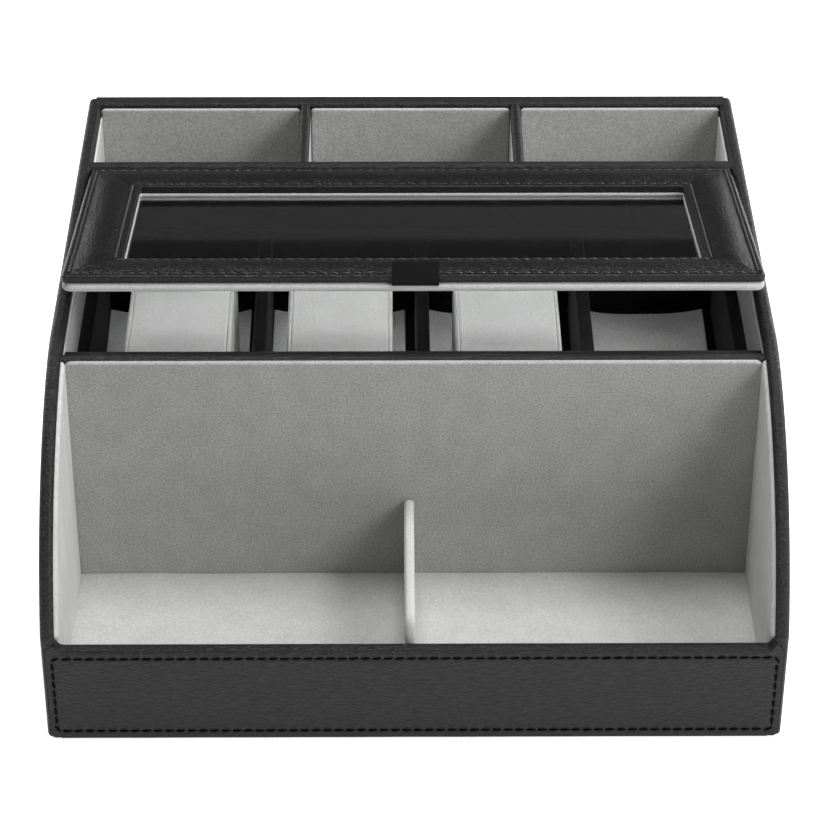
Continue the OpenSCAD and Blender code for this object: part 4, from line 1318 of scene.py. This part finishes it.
@dataclass
class Lid:
    """The glazed lid, drawn shut and then tilted about its hinge as the photograph has it."""

    half_w: float = 152.25
    front: float = -57.7
    back: float = 91.8
    bottom: float = 132.7
    split: float = 136.9
    top: float = 140.7
    rails: tuple[float, float, float] = (22.0, 25.0, 30.0)
    crowns: tuple[float, float, float] = (1.6, 2.3, 1.5)
    rows: tuple[float, float, float] = (2.5, 3.2, 6.4)
    crown_from: tuple[float, float, float] = (3.6, 4.3, 8.6)
    row_in: tuple[float, float, float] = (2.3, 3.2, 2.6)
    edge: tuple[float, float, float] = (1.3, 1.7, 5.0)
    rebate: tuple[float, float, float] = (15.95, 18.95, 23.95)
    lining_in: float = 0.1
    window_round: float = 0.9
    channel: tuple[float, float, float] = (0.25, 0.15, 0.45)
    ledge: float = 134.35
    pane_top: float = 135.5
    pitch: float = 4.9
    long_stitch: tuple[float, float] = (3.0, 0.42)
    short_stitch: tuple[float, float, float] = (1.4, 0.45, 0.9)
    hinge_sink: float = 0.35
    tilt: float = 11.7
    hinge: tuple[float, float] = (86.8, 135.7)
    tab_x: tuple[float, float] = (-9.4, 11.0)
    tab_top: float = 147.5

    def rings(self, levels: list[tuple[tuple[float, ...], tuple[float, ...]]], corner: float,
              counts: tuple[int, int]) -> np.ndarray:
        """Rings round the frame, from a list of distances in from the edge and heights.

        Each ring is a rectangle, drawn in by its own distance at the front, sides and back. Its height passes from
        the sides' to the back's and to the front's in smooth steps near the corners.

        Args:
            levels: Distances and heights, each for the front, the sides and the back.
            corner: The outermost ring's corner radius.
            counts: Points along a ring's long and short runs.

        Returns:
            The rings, as (k, n, 3).
        """
        made = []
        for (df, ds, db), (zf, zs, zb) in levels:
            r = max(corner - ds, 1.2)
            flat = soft_rectangle((-self.half_w + ds, self.front + df), (self.half_w - ds, self.back - db), (r,) * 4,
                                  counts)
            made.append((flat, zf, zs, zb))
        y = made[0][0][:, 1]
        to_back, to_front = ease(y, self.back - 16, self.back - 3), ease(-y, -self.front - 14, -self.front - 2)
        return np.stack([np.column_stack([flat, zs + to_back * (zb - zs) + to_front * (zf - zs)])
                         for flat, zf, zs, zb in made])

    def leather(self) -> Shell:
        """The padded cover: rolled outer edge, sewn channel, swell over the foam, sewn channel, rolled window edge.

        Across a rail the foam stands 4 t (1 - t) times the crown's height. The channels are bells 0.25 mm deep, deeper
        at each stitch, and faint folds fan out of the corners.

        Returns:
            The closed surface.
        """
        a = np.linspace(0, math.pi / 2, 8)
        levels = [((d,) * 3, (self.split + up,) * 3) for d, up in ((1.3, 0.0), (0.6, 0.2), (0.2, 0.6))]
        for angle in a:
            c, s = 1 - math.cos(angle), math.sin(angle) - 1
            levels.append((tuple(r * c for r in self.edge),
                           tuple(max(self.split + 1.2, self.top + r * s) for r in self.edge)))
        bell = np.array([-0.9, -0.55, -0.3, 0.0, 0.3, 0.55, 0.9])
        depth, dip, width = self.channel
        sunk = depth * np.exp(-(bell / width) ** 2)
        for off, down in zip(bell, sunk):
            levels.append((tuple(row + off for row in self.rows), (self.top - down,) * 3))
        row_out = len(levels) - 4
        for t in np.linspace(0, 1, 19):
            d = tuple(c0 + t * (w - g - 1.0 - c0) for c0, w, g in zip(self.crown_from, self.rails, self.row_in))
            swell = 4 * t * (1 - t)
            levels.append((d, tuple(self.top + h * swell for h in self.crowns)))
        for off, down in zip(bell, sunk):
            levels.append((tuple(w - g + off for w, g in zip(self.rails, self.row_in)), (self.top - down,) * 3))
        row_in = len(levels) - 4
        r = self.window_round
        for angle in a:
            levels.append((tuple(w - r + r * math.sin(angle) for w in self.rails),
                           (self.top - r + r * math.cos(angle),) * 3))
        levels.append((self.rails, (self.split,) * 3))
        grid = self.rings(levels, 2.4, (330, 160))
        for row in (row_out, row_in):
            line = grid[row]
            s = np.concatenate([[0], np.cumsum(np.linalg.norm(np.diff(line, axis=0), axis=1))])
            beat = 0.5 + 0.5 * np.cos(2 * math.pi * s / self.pitch)
            off = np.linalg.norm(grid - line[None], axis=2)
            grid[..., 2] -= dip * beat[None] * np.exp(-(off / 1.2) ** 2)
        swelled = ease(grid[..., 2], self.top + 0.2, self.top + 1.5)
        dx, dy = self.half_w - np.abs(grid[..., 0]), np.minimum(grid[..., 1] - self.front, self.back - grid[..., 1])
        reach = np.hypot(dx, dy)
        fan = np.sin(9.0 * np.arctan2(dy, dx) + 0.8) * np.exp(-(reach / 26.0) ** 2)
        grid[..., 2] += swelled * (0.28 * fan + 0.18 * ripple(grid[..., 0], grid[..., 1], 38.0))
        return lattice(grid, close_u=True, close_v=True)

    def seams(self) -> Shell:
        """Both rows of stitches: long and flat along the front and back, short and leaning along the sides.

        Returns:
            All the stitches.
        """
        up, z = (0.0, 0.0, 1.0), self.top - 0.1
        length, girth, slant = self.short_stitch
        made = []
        inner = tuple(w - g for w, g in zip(self.rails, self.row_in))
        for (df, ds, db), sink in ((self.rows, self.hinge_sink), (inner, 0.0)):
            x, y0, y1 = self.half_w - ds, self.front + df, self.back - db
            for y, height in ((y0, z), (y1, z - sink)):
                line = np.array([[-x, y, height], [x, y, height]])
                made.append(stitches(line, up, self.pitch, *self.long_stitch, closed=False))
            for side in (-x, x):
                line = np.array([[side, y0 + 1.5, z + 0.15], [side, y1 - 1.5, z + 0.15]])
                made.append(stitches(line, up, self.pitch / 2, length, girth, math.copysign(slant, side), closed=False))
        return joined(made)

    def lining(self) -> Shell:
        """The suede frame under the cover: full-round outer edge, rounded window edge, and a ledge for the glass.

        Returns:
            The closed surface.
        """
        r = (self.split - self.bottom) / 2
        mid = self.bottom + r
        levels = [((r - r * math.cos(t),) * 3, (mid + r * math.sin(t),) * 3)
                  for t in np.radians(np.linspace(90, -90, 13))]
        inner = tuple(w + self.lining_in for w in self.rails)
        for angle in np.radians(np.linspace(90, 0, 5)):
            levels.append((tuple(w - 0.7 + 0.7 * math.cos(angle) for w in inner),
                           (self.bottom + 0.7 - 0.7 * math.sin(angle),) * 3))
        levels += [(inner, (self.ledge,) * 3), (self.rebate, (self.ledge,) * 3), (self.rebate, (self.split,) * 3)]
        return lattice(self.rings(levels, 4.5, (80, 40)), close_u=True, close_v=True)

    def pane(self) -> Shell:
        """The glass, lying on the lining's ledge with the finest of bevels.

        Returns:
            The closed surface.
        """
        front, side, back = (d + 0.05 for d in self.rebate)
        outline = soft_rectangle((-self.half_w + side, self.front + front), (self.half_w - side, self.back - back),
                                 (1.0,) * 4, (12, 8), 3)
        return panel(outline, self.ledge + 0.05, self.pane_top, 0.15, 0.15, Along.Z, 1, (0.5,))

    def bead(self) -> Shell:
        """The lining's upper fold, which holds the glass down and shows as a pale line round the window.

        Returns:
            The closed surface.
        """
        z0, z1 = self.pane_top - 0.02, self.split + 0.1
        front, side, back = self.rails
        levels = [((front + off, side + min(off, 0.15), back + off), (z,) * 3)
                  for off, z in ((-2.0, z1), (-2.0, z0), (0.2, z0), (0.4, z0 + 0.3), (0.4, z1 - 0.3), (0.2, z1))]
        return lattice(self.rings(levels, 4.5, (80, 40)), close_u=True, close_v=True)

    def tab(self) -> Shell:
        """The pull tab: a ribbon folded on itself, its tail held in the lid, its loop standing in front of the edge.

        Two lines seen from the side, front and back of the loop, meet in the tail; both are carried across the tab.
        Towards its top the loop bows forward, by the square of the way out, and leans.

        Returns:
            The closed surface.
        """
        y, s, z = self.front, self.split, self.tab_top
        front = np.array([[y + 8, s - 1.0], [y + 2, s - 1.0], [y - 0.5, s - 0.9], [y - 1.3, s - 0.2],
                          [y - 1.65, s + 1.2], [y - 1.8, s + 4], [y - 1.75, z - 3], [y - 1.7, z - 0.8],
                          [y - 1.5, z - 0.2], [y - 1.2, z], [y - 0.95, z - 0.15], [y - 0.85, z - 0.55]])
        rear = np.array([[y + 8, s - 0.05], [y + 2, s - 0.05], [y + 0.1, s - 0.05], [y - 0.1, s + 0.4],
                         [y - 0.15, s + 1.4], [y - 0.1, s + 4], [y + 0.1, z - 3], [y + 0.2, z - 0.6],
                         [y + 0.1, z + 0.1], [y - 0.25, z + 0.35], [y - 0.6, z + 0.1], [y - 0.8, z - 0.5]])
        x0, x1 = self.tab_x
        stations = np.linspace(x0, x1, 21)
        u = ((stations - (x0 + x1) / 2) / ((x1 - x0) / 2))[:, None, None]
        faces = np.tile(np.stack([front, rear]), (len(stations), 1, 1, 1))
        high = ease(faces[..., 1], s + 2, z)
        faces[..., 0] -= 0.45 * high * (1 - u**2)
        faces[..., 1] += 0.35 * high * u
        return sheet(faces[:, 0], faces[:, 1], stations, Along.X)

    def build(self, shelf: Shelf) -> None:
        """Makes and dresses the lid's pieces.

        Args:
            shelf: The materials.
        """
        # The lid cover's leather is drawn darker than the case's: painted shade.
        pieces = (("lid_cover", self.leather(), "padded", ("lid_leather",)),
                  # The lid's stitches are drawn pale grey: painted highlight on black thread.
                  ("lid_stitching", self.seams(), "thread_painted_sheen", ()),
                  ("lid_lining_suede", self.lining(), "suede", ("lid_lining",)),
                  # The bead takes the darker copy of the suede: painted shade.
                  ("lid_bead_suede", self.bead(), "shaded", ()),
                  ("lid_pane", self.pane(), "glass", ("lid_glass",)),
                  ("pull_tab", self.tab(), "ribbon", ("lid_pull_tab",)))
        for name, shell, finish, nodes in pieces:
            # The pane's fine bevels stay sharp.
            crease = 20.0 if finish == "glass" else 50.0
            piece = shelf.fit(name, shell.tilted(self.tilt, *self.hinge), finish, *nodes, body=Body.LID, crease=crease)
        shelf.dress("board", "lid_board")
        shelf.dress("steel", "lid_hinge_rail")
        shelf.dress("brass", "hinge_bushes")


# Studio


@dataclass(frozen=True)
class Lamp:
    """A soft box: where it stands in metres, how wide it is, and its power in watts."""

    name: str
    place: tuple[float, float, float]
    size: float
    watts: float

    def light(self, aim: Vector) -> None:
        """Puts the lamp up.

        Args:
            aim: Where it points.
        """
        data = bpy.data.lights.new(self.name, "AREA")
        data.shape, data.size, data.energy = "SQUARE", self.size, self.watts
        lamp = put(self.name, data)
        lamp.location = self.place
        lamp.rotation_euler = (aim - Vector(self.place)).to_track_quat("-Z", "Y").to_euler()


@dataclass
class Studio:
    """White table and soft light, seen from the photograph's own place."""

    eye: tuple[float, float, float] = (-9.785, -1142.826, 854.830)
    right: tuple[float, float, float] = (0.99997227, -0.0070981, 0.00225129)
    up: tuple[float, float, float] = (0.00220288, 0.57076925, 0.82110755)
    ahead: tuple[float, float, float] = (0.00711327, 0.82107982, -0.57076906)
    lens: float = 130.06
    aim: tuple[float, float, float] = (0.0, 0.0, 0.07)
    lamps: tuple[Lamp, ...] = (
        Lamp("top_box", (-0.02, 0.12, 1.6), 0.5, 16.0),
        Lamp("key_box", (0.99, -0.17, 1.30), 0.35, 6.5),
        Lamp("front_box", (0.943, -0.911, 0.988), 0.6, 8.0),
        Lamp("right_box", (1.5, -0.5, 0.7), 1.0, 7.5),
        Lamp("back_left_box", (-0.7, 0.72, 0.42), 0.45, 5.6),
        Lamp("back_right_box", (0.7, 0.72, 0.42), 0.45, 8.0),
    )
    ambient: float = 0.22
    table_glow: float = 0.75
    card_foot: float = 0.266

    def camera(self) -> None:
        """Sets the camera up from its place and its three directions."""
        data = bpy.data.cameras.new("photo_camera")
        data.lens, data.sensor_width, data.clip_start, data.clip_end = self.lens, 36.0, 0.05, 30.0
        camera = put("photo_camera", data)
        axes = np.column_stack([self.right, self.up, -np.array(self.ahead), np.array(self.eye) * MM])
        camera.matrix_world = Matrix(np.vstack([axes, [0, 0, 0, 1]]).tolist())
        bpy.context.scene.camera = camera

    def seen(self, tree: bpy.types.NodeTree) -> Socket:
        """Tells which rays see the background itself, in a mirror or through glass.

        Args:
            tree: The tree that asks.

        Returns:
            One for such rays, and nought for the rest.
        """
        path = add(tree, "ShaderNodeLightPath", {})
        two = add(tree, "ShaderNodeMath", {0: path.outputs["Is Camera Ray"], 1: path.outputs["Is Glossy Ray"]},
                  operation="MAXIMUM")
        return add(tree, "ShaderNodeMath", {0: two.outputs[0], 1: path.outputs["Is Transmission Ray"]},
                   operation="MAXIMUM").outputs[0]

    def table(self) -> None:
        """The white table: a matt sheet that glows a little where it is seen, so that it stays white with a shadow."""
        far, low = 4.0, -0.0003
        mesh = bpy.data.meshes.new("table")
        mesh.from_pydata([(-far, -far, low), (far, -far, low), (far, far, low), (-far, far, low)], [], [(0, 1, 2, 3)])
        table = put("table", mesh)
        paper, tree = blank("white_paper")
        matt = add(tree, "ShaderNodeBsdfDiffuse", {"Color": linear("#e8e8e8")})
        glow = add(tree, "ShaderNodeEmission", {"Color": (1, 1, 1, 1), "Strength": self.table_glow})
        none = add(tree, "ShaderNodeEmission", {"Strength": 0.0})
        shown = add(tree, "ShaderNodeMixShader", {0: self.seen(tree), 1: none.outputs[0], 2: glow.outputs[0]})
        both = add(tree, "ShaderNodeAddShader", {0: matt.outputs[0], 1: shown.outputs[0]})
        add(tree, "ShaderNodeOutputMaterial", {"Surface": both.outputs[0]})
        mesh.materials.append(paper)

    def card(self) -> None:
        """A black card with a grey foot, standing behind the table out of sight for the lid's gloss to mirror."""
        wide, back, near, high, foot = 2.5, 0.8, -2.4, 2.2, self.card_foot
        mesh = bpy.data.meshes.new("black_card")
        mesh.from_pydata([(-wide, back, 0.0), (wide, back, 0.0), (wide, back, foot), (-wide, back, foot),
                          (wide, back, high), (-wide, back, high), (wide, near, high), (-wide, near, high)], [],
                         [(0, 1, 2, 3), (3, 2, 4, 5), (5, 4, 6, 7)])
        card = put("black_card", mesh)
        for name, tone in (("card_black", "#2a2a2a"), ("card_grey", "#484848")):
            paint, tree = blank(name)
            matt = add(tree, "ShaderNodeBsdfDiffuse", {"Color": linear(tone)})
            add(tree, "ShaderNodeOutputMaterial", {"Surface": matt.outputs[0]})
            mesh.materials.append(paint)
        mesh.polygons[0].material_index = 1
        card.visible_camera = card.visible_diffuse = card.visible_shadow = False

    def sky(self) -> None:
        """The room: white where it is seen, and a low even light on the object."""
        world = bpy.data.worlds.new("white_room")
        bpy.context.scene.world = world
        world.use_nodes = True
        tree = world.node_tree
        tree.nodes.clear()
        low = (self.ambient,) * 3 + (1.0,)
        colour = add(tree, "ShaderNodeMix", {0: self.seen(tree), 6: low, 7: (1, 1, 1, 1)}, data_type="RGBA")
        room = add(tree, "ShaderNodeBackground", {"Color": colour.outputs[2], "Strength": 1.0})
        add(tree, "ShaderNodeOutputWorld", {"Surface": room.outputs[0]})

    def build(self) -> None:
        """Puts the studio up."""
        bpy.context.scene.view_settings.view_transform = "Standard"
        self.camera()
        self.table()
        self.card()
        self.sky()
        for lamp in self.lamps:
            lamp.light(Vector(self.aim))


def main() -> None:
    """Builds the studio and the valet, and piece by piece."""
    logging.basicConfig(level=logging.INFO, format="%(name)s: %(message)s")
    Studio().build()
    shelf = Shelf()
    Case().build(shelf)
    WatchTray().build(shelf)
    Lid().build(shelf)


if __name__ == "__main__":
    main()
